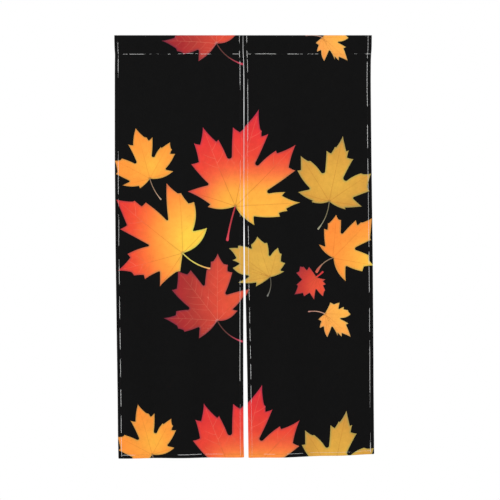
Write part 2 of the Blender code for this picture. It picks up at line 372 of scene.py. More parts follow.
    def base(self, u, v):
        u, v = self.rounded(u, v)
        share, drop = u / PANEL_WIDTH, self.drop_at(v)
        x = self.read(self.grid_x, share, drop)
        fold = self.read(self.grid_fold, share, drop)
        on_arc = np.abs(v) <= QUARTER
        turn = np.minimum(np.abs(v) / POCKET_HALF_DEPTH, 0.5 * math.pi)
        opened = 1.0 - ease((drop - POCKET_HALF_DEPTH) / (POCKET_DROP - POCKET_HALF_DEPTH))
        front = -POCKET_HALF_DEPTH * opened - fold
        front_thick = self.thickness(u, np.maximum(drop + SHIFT, QUARTER))
        closed = front_thick + self.thickness(u, -drop - SHIFT) + 0.00035
        back = POCKET_HALF_DEPTH * opened + closed * (1.0 - opened)
        arc = np.where(v > 0.0, -1.0, 1.0) * POCKET_HALF_DEPTH * np.sin(turn)
        y = np.where(on_arc, arc, np.where(v > 0.0, front, back))
        length = self.length(np.clip(share, 0.0, 1.0))
        fallen = np.minimum(drop, POCKET_DROP) + np.maximum(drop - POCKET_DROP, 0.0) * (
            length - POCKET_DROP) / (PANEL_LENGTH - POCKET_DROP)
        z = -np.where(v > 0.0, fallen, drop)
        y = y - self.relief(u, drop)
        return np.stack([x, y, z], axis=-1)

    def outward(self, u, v):
        step = 0.0004
        du = self.base(u + step, v) - self.base(u - step, v)
        dv = self.base(u, v + step) - self.base(u, v - step)
        normal = np.cross(dv, du)
        return normal / np.maximum(np.linalg.norm(normal, axis=-1, keepdims=True), 1e-12)

    def outer(self, u, v):
        """The outer face, which is the printed one."""
        inside_u = np.clip(u, 0.0005, PANEL_WIDTH - 0.0005)
        inside_v = np.clip(v, -BACK_END + 0.0005, FRONT_END - 0.0005)
        normal = self.outward(inside_u, inside_v)
        return self.base(u, v) - normal * self.sunk(u, v)[..., None], normal

    def inner(self, u, v):
        """The inner face, which is the one towards the window or room behind."""
        point, normal = self.outer(u, v)
        thick = self.thickness(u, v) - 1.6 * self.sunk(u, v)
        return point - normal * thick[..., None], normal


# Soft troughs and ridges of each panel, one row each.
# across, down: its middle, as shares of the panel; wide, tall: its half sizes,
# as shares of the panel; lean: how far it moves across for each length down;
# height: towards the viewer if positive, in millimetres
CREASES = {
    "left": (
        # across, down, wide, tall, lean, height
        (0.20, 0.17, 0.030, 0.120, 0.30, 0.9),
        (0.44, 0.12, 0.026, 0.080, -0.40, -0.8),
        (0.66, 0.21, 0.034, 0.150, -0.22, 0.9),
        (0.87, 0.15, 0.024, 0.100, 0.25, -0.7),
        (0.14, 0.52, 0.036, 0.160, -0.12, -0.9),
        (0.40, 0.47, 0.030, 0.140, 0.18, 0.8),
        (0.62, 0.63, 0.038, 0.170, 0.10, -0.9),
        (0.84, 0.55, 0.030, 0.130, -0.16, 0.7),
        (0.22, 0.83, 0.034, 0.120, 0.14, 0.9),
        (0.47, 0.88, 0.030, 0.100, -0.20, -0.8),
        (0.79, 0.86, 0.036, 0.120, 0.12, 0.9),
    ),
    "right": (
        # across, down, wide, tall, lean, height
        (0.13, 0.14, 0.026, 0.090, -0.30, 0.8),
        (0.37, 0.19, 0.032, 0.130, 0.26, -0.9),
        (0.60, 0.13, 0.026, 0.090, 0.36, 0.8),
        (0.82, 0.20, 0.034, 0.140, -0.28, -0.8),
        (0.19, 0.46, 0.032, 0.150, 0.14, 0.9),
        (0.43, 0.60, 0.038, 0.170, -0.10, -0.9),
        (0.65, 0.44, 0.030, 0.140, -0.16, 0.8),
        (0.88, 0.58, 0.032, 0.150, 0.12, -0.8),
        (0.16, 0.84, 0.034, 0.110, -0.16, -0.9),
        (0.40, 0.87, 0.030, 0.110, 0.18, 0.8),
        (0.70, 0.82, 0.036, 0.130, -0.10, -0.9),
        (0.90, 0.90, 0.026, 0.090, 0.20, 0.7),
    ),
}

# ---------------------------------------------------------------- the leaves

# Teeth on one side of a lobe, from its base to its tip. Each stands at a share
# of the reach along the lobe and out from its middle, and the notch above it is
# cut so far back and so far in. Where the edge above the notch isn't hollow like
# most, a fifth number says how far it bulges.
#        along, out, back, in
BARE = ()
WIDE = ((0.77, 0.215, 0.030, 0.080),)
PAIR = ((0.65, 0.290, 0.010, 0.090), (0.86, 0.170, 0.040, 0.060))
STEPPED = ((0.646, 0.226, 0.000, 0.065), (0.782, 0.135, -0.027, 0.062))

# One leaf each. Angles are clockwise from straight up, in degrees. Lengths are
# in millimetres and run from the leaf's junction, where its stem begins.
#   at: the junction, across and down the print
#   lobes: turn, reach, left teeth, right teeth, and the gap after it, as turn,
#     reach and its roundness in millimetres, or None after the last; then, where
#     its two sides are fuller or slimmer than most, how far each bulges
#   bases: how far the blade's two sides round out beside the stem, as shares
#   root: where those sides meet, across and down, if not at the junction
#   slim: how far in from all that the outline is drawn, in millimetres
#   twigs: how wide the finest veins are at their roots, in millimetres
#   veering: a lobe whose main vein runs at its own turn, by its place in lobes
#   stem: turn, reach, bend, width at the junction, width at its end, and how far
#     down it the end begins to swell
#   wash: where the wash of colour is centred, across and down from the
#     junction, and how fast it runs up, down, left and right
#   inks: the wash's colours, each with its distance
#   pale_by: where a leaf's veins turn from dark to pale, how far out in the wash
#   stem_inks: the stem's colour at the junction and at its end
LEAVES = (
    dict(at=(404.8, 571.9),
         lobes=((-72.8, 167, ((0.53, 0.175, 0.030, 0.065),), BARE, (-52, 116, 4.5), (0.06, 0.04)),
                (-22.3, 287, PAIR, ((0.79, 0.108, 0.012, 0.030),), (-7, 161, 8.5), (0.05, 0.04)),
                (13.9, 332, WIDE, ((0.78, 0.158, 0.040, 0.065), (0.80, 0.086, -0.020, 0.022)),
                 (28, 153, 7.0), (0.02, 0.02)),
                (45.5, 291, ((0.79, 0.112, 0.012, 0.032),), ((0.785, 0.207, 0.030, 0.080),),
                 (68, 118, 6.5), (0.06, 0.02)),
                (87.5, 221, ((0.78, 0.165, 0.050, 0.052, -0.09),),
                 ((0.675, 0.200, 0.010, 0.058), (0.79, 0.118, 0.015, 0.035)),
                 (121.5, 73.0, 3.0), (0.06, 0.07)),
                (136.1, 92, BARE, BARE, None, (-0.06, 0.03))),
         bases=(0.19, 0.16), slim=0.4, twigs=1.5, stem=(-167, 118, 0.02, 4.6, 8.6, 0.80),
         wash=(0, 0, 1.0, 0.15, 1.05, 0.12),
         inks=((0, (249, 178, 67)), (50, (250, 169, 66)), (84, (248, 142, 64)),
               (111, (241, 113, 62)), (135, (236, 92, 59)), (168, (231, 71, 54)),
               (236, (227, 57, 55)), (310, (217, 49, 58))),
         pale_by=165,
         stem_inks=((176, 58, 66), (214, 70, 84))),
    dict(at=(226.3, 731.6),
         lobes=((-144.8, 136, ((0.403, 0.206, -0.073, 0.070),), BARE, (-128.5, 100, 3.0),
                 (0.03, -0.02)),
                (-105, 227, STEPPED, ((0.80, 0.202, 0.025, 0.062),), (-77.6, 117, 3.5),
                 (-0.06, 0.08)),
                (-51, 285, ((0.75, 0.245, 0.034, 0.088, 0.0),),
                 ((0.707, 0.188, -0.008, 0.066), (0.830, 0.127, -0.010, 0.022)),
                 (-24.5, 121, 4.0), (0.0, 0.05)),
                (-12.8, 240, BARE, ((0.66, 0.315, 0.004, 0.080), (0.816, 0.164, -0.010, 0.048)),
                 (26.5, 83, 3.2), (0.045, 0.17)),
                (44.4, 118, BARE, BARE, None, (-0.03, 0.03))),
         bases=(0.0, 0.305), slim=0.2, twigs=1.5, veering={3: -3.5},
         stem=(118.4, 112, 0.085, 3.6, 6.4, 0.80),
         wash=(27, -42, 0.75, 0.75, 1.0, 0.3),
         inks=((0, (252, 203, 71)), (27, (252, 201, 71)), (47, (250, 187, 70)),
               (74, (251, 172, 67)), (118, (252, 146, 61)), (155, (246, 114, 57)),
               (195, (237, 81, 53)), (240, (226, 60, 51))),
         pale_by=190,
         stem_inks=((214, 200, 98), (240, 172, 104))),
    dict(at=(116.9, 482.0),
         lobes=((-103.7, 93, ((0.42, 0.250, -0.03, 0.092, 0.13),), BARE, (-97, 68.5, 2.8)),
                (-62.6, 132, ((0.82, 0.286, 0.010, 0.062),), ((0.86, 0.132, -0.015, 0.050),),
                 (-41.2, 69.5, 5.0), (0.01, 0.06)),
                (-15.4, 176, ((0.745, 0.218, 0.040, 0.086, 0.08),),
                 ((0.752, 0.262, 0.045, 0.084), (0.77, 0.152, -0.030, 0.045)), (9.0, 73.5, 5.5),
                 (-0.03, 0.05)),
                (29.1, 140, ((0.79, 0.138, 0.012, 0.025, 0.03),),
                 ((0.82, 0.240, 0.050, 0.102), (0.87, 0.124, -0.020, 0.040)),
                 (60, 62.5, 3.5), (0.11, 0.09)),
                (72.4, 82, BARE, BARE, None, (0.03, 0.03))),
         bases=(0.11, 0.23), slim=0.5, twigs=1.5, stem=(152, 79, 0.055, 2.4, 4.6, 0.80),
         wash=(6, -44, 1.0, 1.0, 1.0, 1.0),
         inks=((0, (253, 181, 67)), (50, (250, 159, 62)), (118, (251, 144, 57)),
               (180, (250, 142, 60))),
         stem_inks=((150, 122, 100), (176, 146, 124))),
    dict(at=(719.6, 558.5),
         lobes=((-72.9, 108.5, ((0.52, 0.175, 0.03, 0.050, 0.10),), BARE, (-57.6, 78, 4.0),
                 (0.03, 0.03)),
                (-31.5, 180, ((0.795, 0.202, 0.025, 0.062, 0.0),), ((0.83, 0.102, -0.02, 0.035),),
                 (-11.1, 97, 7.5), (0.09, 0.10)),
                (12.4, 225, ((0.73, 0.195, 0.025, 0.074), (0.82, 0.080, 0.000, 0.020)),
                 ((0.70, 0.225, -0.002, 0.094), (0.81, 0.130, 0.020, 0.033, -0.01)),
                 (36.2, 88.5, 8.5), (-0.02, -0.02)),
                (56.5, 170, ((0.84, 0.114, -0.035, 0.045),), ((0.77, 0.266, -0.020, 0.088),),
                 (82.4, 81.5, 4.2), (0.11, 0.0)),
                (98.6, 110.5, BARE, ((0.52, 0.160, 0.03, 0.050, 0.03),), None, (0.0, 0.03))),
         bases=(0.19, 0.13), slim=0.5, twigs=1.5, stem=(-157, 101, -0.08, 2.3, 5.8, 0.80),
         wash=(22, -55, 1.0, 1.7, 1.0, 1.0),
         inks=((0, (223, 170, 69)), (60, (220, 165, 67)), (110, (210, 154, 64)),
               (170, (201, 146, 70)), (240, (218, 163, 78))),
         stem_inks=((122, 114, 88), (150, 148, 124))),
    dict(at=(728.3, 748.2), root=(3.5, 0.5),
         lobes=((-45, 63.5, BARE, BARE, (-32.9, 47, 3.0), (0.03, 0.10)),
                (5.5, 146, ((0.66, 0.248, 0.020, 0.078), (0.786, 0.172, -0.010, 0.030)),
                 ((0.887, 0.120, -0.013, 0.060),), (20.9, 88, 4.8), (0.05, 0.02)),
                (45.1, 189.5, ((0.767, 0.179, 0.043, 0.083), (0.81, 0.084, -0.030, 0.026, -0.03)),
                 ((0.714, 0.256, -0.012, 0.032, 0.0),), (68.7, 82, 5.5), (0.035, -0.01)),
                (100.3, 142, ((0.83, 0.220, -0.040, 0.125),),
                 ((0.755, 0.184, -0.020, 0.118, -0.07),), (123.2, 52.5, 4.0), (0.04, 0.08)),
                (150.7, 88.5, BARE, BARE, None, (-0.03, 0.03))),
         bases=(0.17, 0.22), slim=0.3, twigs=1.5, stem=(-131.0, 73, 0.10, 2.4, 9.0, 0.50),
         wash=(136, 15, 1.0, 1.0, 1.0, 1.0),
         inks=((0, (254, 196, 70)), (60, (253, 172, 67)), (120, (250, 148, 60)),
               (190, (252, 139, 57)), (260, (252, 138, 52))),
         stem_inks=((144, 120, 98), (196, 92, 76))),
    dict(at=(516.6, 812.4),
         lobes=((-122.5, 58, BARE, BARE, (-111.5, 51.5, 1.5)),
                (-100, 104, BARE, BARE, (-87.7, 72.5, 3.0), (0.10, -0.05)),
                (-75.5, 125, BARE, BARE, (-65.9, 109, 2.0), (0.22, -0.06)),
                (-65.1, 135, BARE, BARE, (-59.8, 126.5, 1.2), (-0.05, -0.06)),
                (-54.1, 165, BARE, ((0.883, 0.156, 0.020, 0.046, 0.08),), (-33.1, 114.5, 2.5),
                 (-0.10, 0.12)),
                (-17.3, 143, ((0.861, 0.200, -0.020, 0.052, -0.11),),
                 ((0.785, 0.176, -0.015, 0.062),), (0, 71.5, 4.0), (0.0, 0.10)),
                (15.7, 102.5, BARE, ((0.586, 0.360, -0.016, 0.150), (0.84, 0.170, -0.010, 0.068)),
                 (58, 42.5, 2.5), (0.13, 0.03)),
                (67.6, 51.5, BARE, BARE, None, (-0.05, 0.03))),
         bases=(0.06, 0.10), slim=0.3, twigs=1.5, stem=(-170, 65, -0.10, 2.4, 5.0, 0.80),
         wash=(-27, -54, 1.0, 1.0, 1.0, 1.0),
         inks=((0, (221, 172, 72)), (60, (213, 163, 69)), (110, (203, 153, 69)),
               (160, (195, 146, 70))),
         stem_inks=((92, 88, 76), (118, 118, 112))),
    dict(at=(673.0, 812.2),
         lobes=((104.5, 31, BARE, BARE, (121, 26, 0.8)),
                (128.4, 39, BARE, BARE, (141, 36.0, 0.8)),
                (161.5, 68, ((0.75, 0.195, -0.030, 0.050),), BARE, (181.5, 41), (0.03, 0.10)),
                (186.6, 76, BARE, BARE, (203.5, 58.5), (-0.03, 0.03)),
                (213.5, 77, BARE, BARE, (221, 71, 0.8)),
                (232.2, 95, BARE, ((0.728, 0.225, 0.010, 0.060),), (260.9, 50)),
                (281.8, 69, BARE, BARE, (289, 61, 0.8)),
                (303.4, 65, BARE, ((0.85, 0.086, -0.020, 0.030),), (309.5, 39)),
                (325.0, 42, BARE, BARE, None)),
         bases=(-0.06, 0.04), slim=0.3, twigs=0.9, stem=(51, 29, 0.02, 4.4, 6.2, 0.45),
         wash=(17, 34, 1.0, 1.0, 1.0, 1.0),
         inks=((0, (233, 82, 56)), (36, (221, 77, 57)), (60, (203, 62, 52)),
               (88, (176, 54, 54)), (110, (160, 48, 54))),
         stem_inks=((214, 62, 60), (196, 58, 62))),
    dict(at=(699.5, 935.2),
         lobes=((27.5, 42.5, BARE, BARE, (43, 44)),
                (53.6, 63, BARE, BARE, (69.2, 50, 2.8), (0.06, 0.0)),
                (91, 87.5, ((0.735, 0.275, 0.010, 0.085), (0.904, 0.150, -0.010, 0.050)), BARE,
                 (106.5, 55), (0.10, 0.20)),
                (131.7, 116, ((0.70, 0.248, 0.030, 0.075, 0.04),), BARE, (138.7, 86.5, 0.8),
                 (0.03, -0.03)),
                (143.6, 95, BARE, BARE, (146, 77, 0.8)),
                (149.8, 86, BARE, BARE, (152.0, 49.5, 3.0), (0.03, -0.08)),
                (174.5, 79, BARE, BARE, (187, 43), (0.04, 0.16)),
                (200, 50.5, BARE, BARE, (209, 27.5), (0.03, 0.10)),
                (229, 28.5, BARE, BARE, None)),
         bases=(-0.04, 0.05), slim=0.1, twigs=0.9, stem=(-83, 56, 0.08, 2.2, 4.2, 0.80),
         wash=(62, 0, 1.0, 1.0, 1.0, 1.0),
         inks=((0, (253, 178, 75)), (50, (249, 170, 78)), (100, (246, 150, 74)),
               (140, (244, 142, 72))),
         stem_inks=((206, 158, 134), (180, 128, 116))),
    dict(at=(343.2, 959.3),
         lobes=((-133.3, 86, BARE, BARE, (-111.5, 65, 4.0), (0.03, 0.03)),
                (-87.1, 185, ((0.60, 0.225, -0.020, 0.030), (0.715, 0.172, -0.020, 0.045)),
                 ((0.76, 0.137, -0.008, 0.072),), (-67, 104, 5.0), (0.05, 0.06)),
                (-38.4, 214.5, ((0.82, 0.265, 0.030, 0.074),), ((0.885, 0.165, 0.018, 0.084),),
                 (-20.5, 127, 4.5), (0.06, 0.02)),
                (0.4, 226, ((0.76, 0.164, -0.010, 0.050), (0.872, 0.105, -0.015, 0.040)),
                 ((0.726, 0.222, -0.018, 0.070), (0.835, 0.152, -0.018, 0.066)), (19.5, 94, 5.5),
                 (0.03, 0.05)),
                (43.8, 148.5, BARE, ((0.49, 0.172, 0.052, 0.098, 0.10),), None, (0.02, 0.03))),
         bases=(0.14, 0.29), slim=0.5, twigs=0.9, stem=(129, 110, 0.10, 3.0, 6.8, 0.80),
         wash=(60, -70, 0.5, 0.8, 1.0, 0.3),
         inks=((0, (222, 85, 58)), (60, (216, 76, 57)), (90, (202, 70, 56)),
               (120, (190, 64, 54)), (150, (173, 57, 51)), (185, (168, 47, 48)),
               (250, (146, 43, 50))),
         pale_by=50,
         stem_inks=((100, 60, 56), (186, 64, 84))),
)


# Where a leaf stands a little off its repeat on one panel, in millimetres. Each
# panel's cloth was printed, cut and hung in its own way.
NUDGES = (
    # leaf, repeat, panel, across, down
    (1, 0, "left", -0.9, 2.4),
    (1, 0, "right", -3.5, -0.4),
    (1, 1, "left", 0.3, -0.6),
    (1, 1, "right", -2.9, -6.4),
    (3, 1, "left", -1.6, -3.4),
    (4, 1, "right", 2.1, -9.6),
    (9, -1, "left", 0.4, 0.0),
    (9, -1, "right", 0.4, 0.0),
    (8, -1, "right", -2.0, 3.6),
)


def bearing(turn, reach):
    """An offset across and down for a turn clockwise from straight up."""
    a = math.radians(turn)
    return np.array([reach * math.sin(a), -reach * math.cos(a)])


def arc_between(p, q, bulge, step):
    """Points from p up to q, not including q, on a curve that bulges to its left."""
    chord = q - p
    length = float(np.hypot(*chord))
    left = np.array([chord[1], -chord[0]])
    middle = 0.5 * (p + q) + bulge * left
    count = max(1, int(round(length * (1.0 + 1.5 * abs(bulge)) / step)))
    t = np.arange(count)[:, None] / count
    return (1 - t) ** 2 * p + 2 * t * (1 - t) * middle + t ** 2 * q


def touching(p, circle, way):
    """Where a line from p touches a circle, which it leaves on its left if way is 1."""
    centre, radius = circle
    d = centre - p
    far = float(np.hypot(*d))
    radius = min(radius, 0.45 * far)
    a = way * math.asin(radius / far)
    d = np.array([d[0] * math.cos(a) - d[1] * math.sin(a), d[0] * math.sin(a) + d[1] * math.cos(a)])
    return p + d / far * math.sqrt(far * far - radius * radius)


def reaching(p, circle):
    return touching(p, circle, 1.0)


def leaving(circle, q):
    return touching(q, circle, -1.0)


def round_gap(circle, begin, end):
    """The bottom of a gap: points round its circle from one side to the other."""
    centre, radius = circle
    a = math.atan2(*(begin - centre)[::-1])
    b = math.atan2(*(end - centre)[::-1])
    while b > a:
        b -= 2.0 * math.pi
    if a - b > 1.7 * math.pi:
        return begin[None]
    count = max(3, int((a - b) * radius / 1.6))
    turn = a + (b - a) * np.arange(count) / count
    reach = float(np.hypot(*(begin - centre)))
    return centre + reach * np.stack([np.cos(turn), np.sin(turn)], axis=1)


def drawn_in(points, by):
    """An outline moved inwards by so much, but for the ends of its lobes and teeth."""
    ahead = np.roll(points, -1, axis=0) - points
    ahead /= np.maximum(np.linalg.norm(ahead, axis=1, keepdims=True), 1e-9)
    behind = np.roll(ahead, 1, axis=0)
    x, y = points[:, 0], points[:, 1]
    way = np.sign(x @ np.roll(y, -1) - y @ np.roll(x, -1))
    turning = way * (behind[:, 0] * ahead[:, 1] - behind[:, 1] * ahead[:, 0])
    sharp = points[(turning > 0.64) | ((turning > 0.0) & ((behind * ahead).sum(axis=1) < 0.5))]
    inward = way * np.stack([-(ahead + behind)[:, 1], (ahead + behind)[:, 0]], axis=1)
    inward /= np.maximum(np.linalg.norm(inward, axis=1, keepdims=True), 1e-9)
    far = np.linalg.norm(points[:, None] - sharp[None], axis=2).min(axis=1)
    return points + inward * (by * np.clip(far / 7.0, 0.0, 1.0))[:, None]


class Leaf:
    """One leaf drawn from its row, before it is repeated down the cloth."""

    def __init__(self, number, row):
        self.row, self.number = row, number
        self.at = np.array(row["at"], dtype=float)
        self.size = max(lobe[1] for lobe in row["lobes"])
        self.step = 3.0 if self.size > 130 else 2.2
        self.outline = self.blade()
        self.veins, self.branches = self.vein_lines()
        self.stem_line, self.stem = self.stem_shape()

    def blade(self):
        lobes = self.row["lobes"]
        first, last = self.row["bases"]
        root = self.at + self.row.get("root", (0.0, 0.0))
        nodes, bulges = [root], []                 # a gap's node is its circle
        for n, (turn, reach, left_teeth, right_teeth, gap, *full) in enumerate(lobes):
            round_left, round_right = full[0] if full else (0.03, 0.03)
            along = bearing(turn, reach)
            right = np.array([-along[1], along[0]])

            def spot(s, w, shake):
                return self.at + along * (s + shake) + right * (w + 0.5 * shake)

            def side(teeth, sign, base):
                """The teeth's nodes from the base to the tip, with the bulge before each."""
                made, above = [], base
                for k, (s, w, back, cut, *full) in enumerate(teeth):
                    shake = 0.012 * (chance(self.number, n, k, sign) - 0.5)
                    made.append((above, spot(s, sign * w, shake)))
                    made.append((-0.06, spot(s - back, sign * (w - cut), shake)))
                    above = full[0] if full else -0.06 if k == len(teeth) - 1 else -0.05
                made.append((above, self.at + along))
                return made

            rising = side(left_teeth, -1.0, first if n == 0 else round_left)
            falling = side(right_teeth, 1.0, last if gap is None else round_right)
            for bulge, place in rising:
                bulges.append(bulge)
                nodes.append(place)
            for k in range(len(falling) - 1, -1, -1):
                bulges.append(falling[k][0])
                if k > 0:
                    nodes.append(falling[k - 1][1])
            if gap is None:
                nodes.append(root)
            else:
                radius = gap[2] if len(gap) > 2 else 0.016 * self.size + 0.6
                nodes.append((self.at + bearing(gap[0], gap[1] + radius), radius))
        points = []
        for k, bulge in enumerate(bulges):
            p, q = nodes[k], nodes[k + 1]
            if isinstance(p, tuple):
                p = leaving(p, q)
            if isinstance(q, tuple):
                end = reaching(p, q)
                points.append(arc_between(p, end, bulge, self.step))
                points.append(round_gap(q, end, leaving(q, nodes[k + 2])))
            else:
                points.append(arc_between(p, q, bulge, self.step))
        return drawn_in(np.concatenate(points), self.row["slim"])

    def vein_lines(self):
        """Veins as points and half widths: those down the lobes, and their branches."""
        main, fine = [], []
        for n, (turn, reach, *_) in enumerate(self.row["lobes"]):
            turn = self.row.get("veering", {}).get(n, turn)
            if reach < 0.22 * self.size:
                continue
            bend = 0.07 * (chance(self.number, n, 3.0) - 0.5)
            tip = self.at + 0.93 * bearing(turn, reach)
            t = np.linspace(0.0, 1.0, max(4, int(reach / 6)))[:, None]
            side = np.array([-(tip - self.at)[1], (tip - self.at)[0]])
            line = self.at + t * (tip - self.at) + 2 * bend * t * (1 - t) * side
            main.append((line, max(0.45, 0.0033 * self.size) * (1.0 - 0.66 * t[:, 0])))
            if reach < 0.38 * self.size or reach < 55:
                continue
            for k, start in enumerate((0.26, 0.41, 0.56, 0.71)):
                for sign in (-1.0, 1.0):
                    begin = start + 0.045 * sign + 0.03 * (chance(self.number, n, k, sign) - 0.5)
                    root = line[int(round(begin * (len(line) - 1)))]
                    lean = turn + sign * (56 + 8 * chance(self.number, n, k, sign + 5))
                    length = reach * (0.230 - 0.034 * k) * (0.9 + 0.2 * chance(n, k, sign))
                    end = root + bearing(lean, length)
                    s = np.linspace(0.0, 1.0, max(4, int(length / 5)))[:, None]
                    branch = root + s * (end - root) + s * s * bearing(turn, 0.30 * length)
                    fine.append((branch, 0.5 * self.row["twigs"] * (1.0 - 0.6 * s[:, 0])))
        return main, fine

    def stem_shape(self):
        turn, reach, bend, thin, thick, swells = self.row["stem"]
        end = self.at + bearing(turn, reach)
        chord = end - self.at
        right = np.array([-chord[1], chord[0]])
        t = np.linspace(0.0, 1.0, max(6, int(reach / 5)))[:, None]
        line = self.at + t * chord + 4.0 * bend * t * (1 - t) * right
        run = np.gradient(line, axis=0)
        run /= np.linalg.norm(run, axis=1, keepdims=True)
        across = np.stack([-run[:, 1], run[:, 0]], axis=1)
        knob = ease((t[:, 0] - swells) / (0.85 * (1.0 - swells)))
        width = 0.5 * (thin + (0.22 * t[:, 0] + 0.78 * knob) * (thick - thin))
        width[0] *= 1.3
        cap = line[-1] + run[-1] * width[-1] * 0.55
        sides = [line + across * width[:, None], line - across * width[:, None]]
        return line, np.concatenate([sides[0], cap[None], sides[1][::-1]])

    def wash(self, points):
        """The blade's colour, and how far out in the wash it is, from 0 to 1."""
        cx, cy, up, down, left, right = self.row["wash"]
        d = points - self.at - (cx, cy)
        dx = np.where(d[..., 0] < 0, left, right) * d[..., 0]
        dy = np.where(d[..., 1] < 0, up, down) * d[..., 1]
        far = np.hypot(dx, dy)
        stops = [stop for stop, _ in self.row["inks"]]
        inks = np.array([linear(*ink) for _, ink in self.row["inks"]])
        colour = np.stack([np.interp(far, stops, inks[:, c]) for c in range(3)], axis=-1)
        return colour, np.clip(far / self.row.get("pale_by", 2.0 * stops[-1]), 0.0, 1.0)

    def stem_wash(self, points):
        chord = self.stem_line[-1] - self.stem_line[0]
        t = np.clip(((points - self.stem_line[0]) @ chord) / (chord @ chord), 0.0, 1.0)
        a, b = (linear(*ink) for ink in self.row["stem_inks"])
        mix = ease((t - 0.45) / 0.5)[..., None]
        return a * (1 - mix) + b * mix


class Shape:
    """A leaf's blade or stem at one of its repeats."""

    def __init__(self, leaf, kind, shift):
        self.leaf, self.kind, self.shift = leaf, kind, shift
        self.outline = (leaf.outline if kind == "blade" else leaf.stem) + self.shift
        self.low, self.high = self.outline.min(axis=0), self.outline.max(axis=0)

    def contains(self, points):
        found = np.zeros(len(points), dtype=bool)
        near = np.flatnonzero(((points >= self.low) & (points <= self.high)).all(axis=1))
        if not len(near):
            return found
        x, y = points[near, 0], points[near, 1]
        inside = np.zeros(len(near), dtype=bool)
        a, b = self.outline, np.roll(self.outline, -1, axis=0)
        for (ax, ay), (bx, by) in zip(a, b):
            if ay != by:
                crosses = (ay > y) != (by > y)
                inside ^= crosses & (x < (bx - ax) * (y - ay) / (by - ay) + ax)
        found[near] = inside
        return found


def distance_to(points, lines):
    """The least distance from each point to the lines, each taken in its own widths."""
    best = np.full(len(points), 99.0)
    for line, width in lines:
        low, high = line.min(axis=0) - 9.0, line.max(axis=0) + 9.0
        near = np.flatnonzero(((points >= low) & (points <= high)).all(axis=1))
        if not len(near):
            continue
        p = points[near]
        for k in range(len(line) - 1):
            a, d = line[k], line[k + 1] - line[k]
            t = np.clip(((p - a) @ d) / max(float(d @ d), 1e-12), 0.0, 1.0)
            far = np.linalg.norm(p - a - t[:, None] * d, axis=1)
            best[near] = np.minimum(best[near], far / (width[k] + (width[k + 1] - width[k]) * t))
    return best


def all_shapes(panel):
    leaves = [Leaf(n + 1, row) for n, row in enumerate(LEAVES)]
    shapes = []
    for repeat in (-1, 0, 1):
        for leaf in leaves:
            shift = np.array([0.0, repeat * REPEAT])
            for number, turn, name, across, down in NUDGES:
                if (number, turn, name) == (leaf.number, repeat, panel.name):
                    shift += (across, down)
            shapes.append(Shape(leaf, "stem", shift))
            shapes.append(Shape(leaf, "blade", shift))
    return [s for s in shapes if s.high[1] > -80.0 and s.low[1] < 1440.0]


# --------------------------------------------------- the flat cloth, meshed

class Drawing:
    """Lines and points laid out on the flat cloth, ready to be meshed."""

    def __init__(self):
        self.points, self.index, self.edges = [], {}, []

    def point(self, u, v):
        for edge in (0.0, PANEL_WIDTH):
            u = edge if abs(u - edge) < 4e-7 else u
        for edge in (-BACK_END, FRONT_END):
            v = edge if abs(v - edge) < 4e-7 else v
        key = (round(u * 2e6), round(v * 2e6))
        if key not in self.index:
            self.index[key] = len(self.points)
            self.points.append((u, v))
        return self.index[key]

    def line(self, points, closed, box):
        """Draws a line, as much of it as lies in the box."""
        lo, hi = np.array(box[0]), np.array(box[1])
        after = np.roll(points, -1, axis=0) if closed else points[1:]
        for p, q in zip(points if closed else points[:-1], after):
            t0, t1 = 0.0, 1.0
            d = q - p
            for axis in (0, 1):
                if abs(d[axis]) < 1e-12:
                    if not lo[axis] <= p[axis] <= hi[axis]:
                        t0 = 2.0
                    continue
                a, b = (lo[axis] - p[axis]) / d[axis], (hi[axis] - p[axis]) / d[axis]
                t0, t1 = max(t0, min(a, b)), min(t1, max(a, b))
            if t0 < t1:
                i = self.point(*(p + t0 * d))
                j = self.point(*(p + t1 * d))
                if i != j:
                    self.edges.append((i, j))

    def fill(self, points, clear):
        """Adds loose points that aren't too near what is already drawn."""
        tree = KDTree(len(self.points))
        for n, (u, v) in enumerate(self.points):
            tree.insert((u, v, 0.0), n)
        tree.balance()
        for u, v in points:
            if tree.find((u, v, 0.0))[2] > clear:
                self.point(u, v)

    def mesh(self):
        made = delaunay_2d_cdt([Vector(p) for p in self.points], self.edges, [], 0, 1e-7)
        points = np.array([tuple(p) for p in made[0]])
        faces = np.array([tuple(f) for f in made[2]], dtype=int)
        a, b, c = (points[faces[:, k]] for k in range(3))
        area = (b[:, 0] - a[:, 0]) * (c[:, 1] - a[:, 1]) - (c[:, 0] - a[:, 0]) * (b[:, 1] - a[:, 1])
        faces[area < 0] = faces[area < 0][:, ::-1]
        return points, faces


def spaced(low, high, step):
    return np.linspace(low, high, max(2, int(round((high - low) / step)) + 1))


def cloth_columns(side_width):
    """Distances from a side edge at which the hem's points stand."""
    return (0.0, 0.0009, 0.0032, 0.0062)


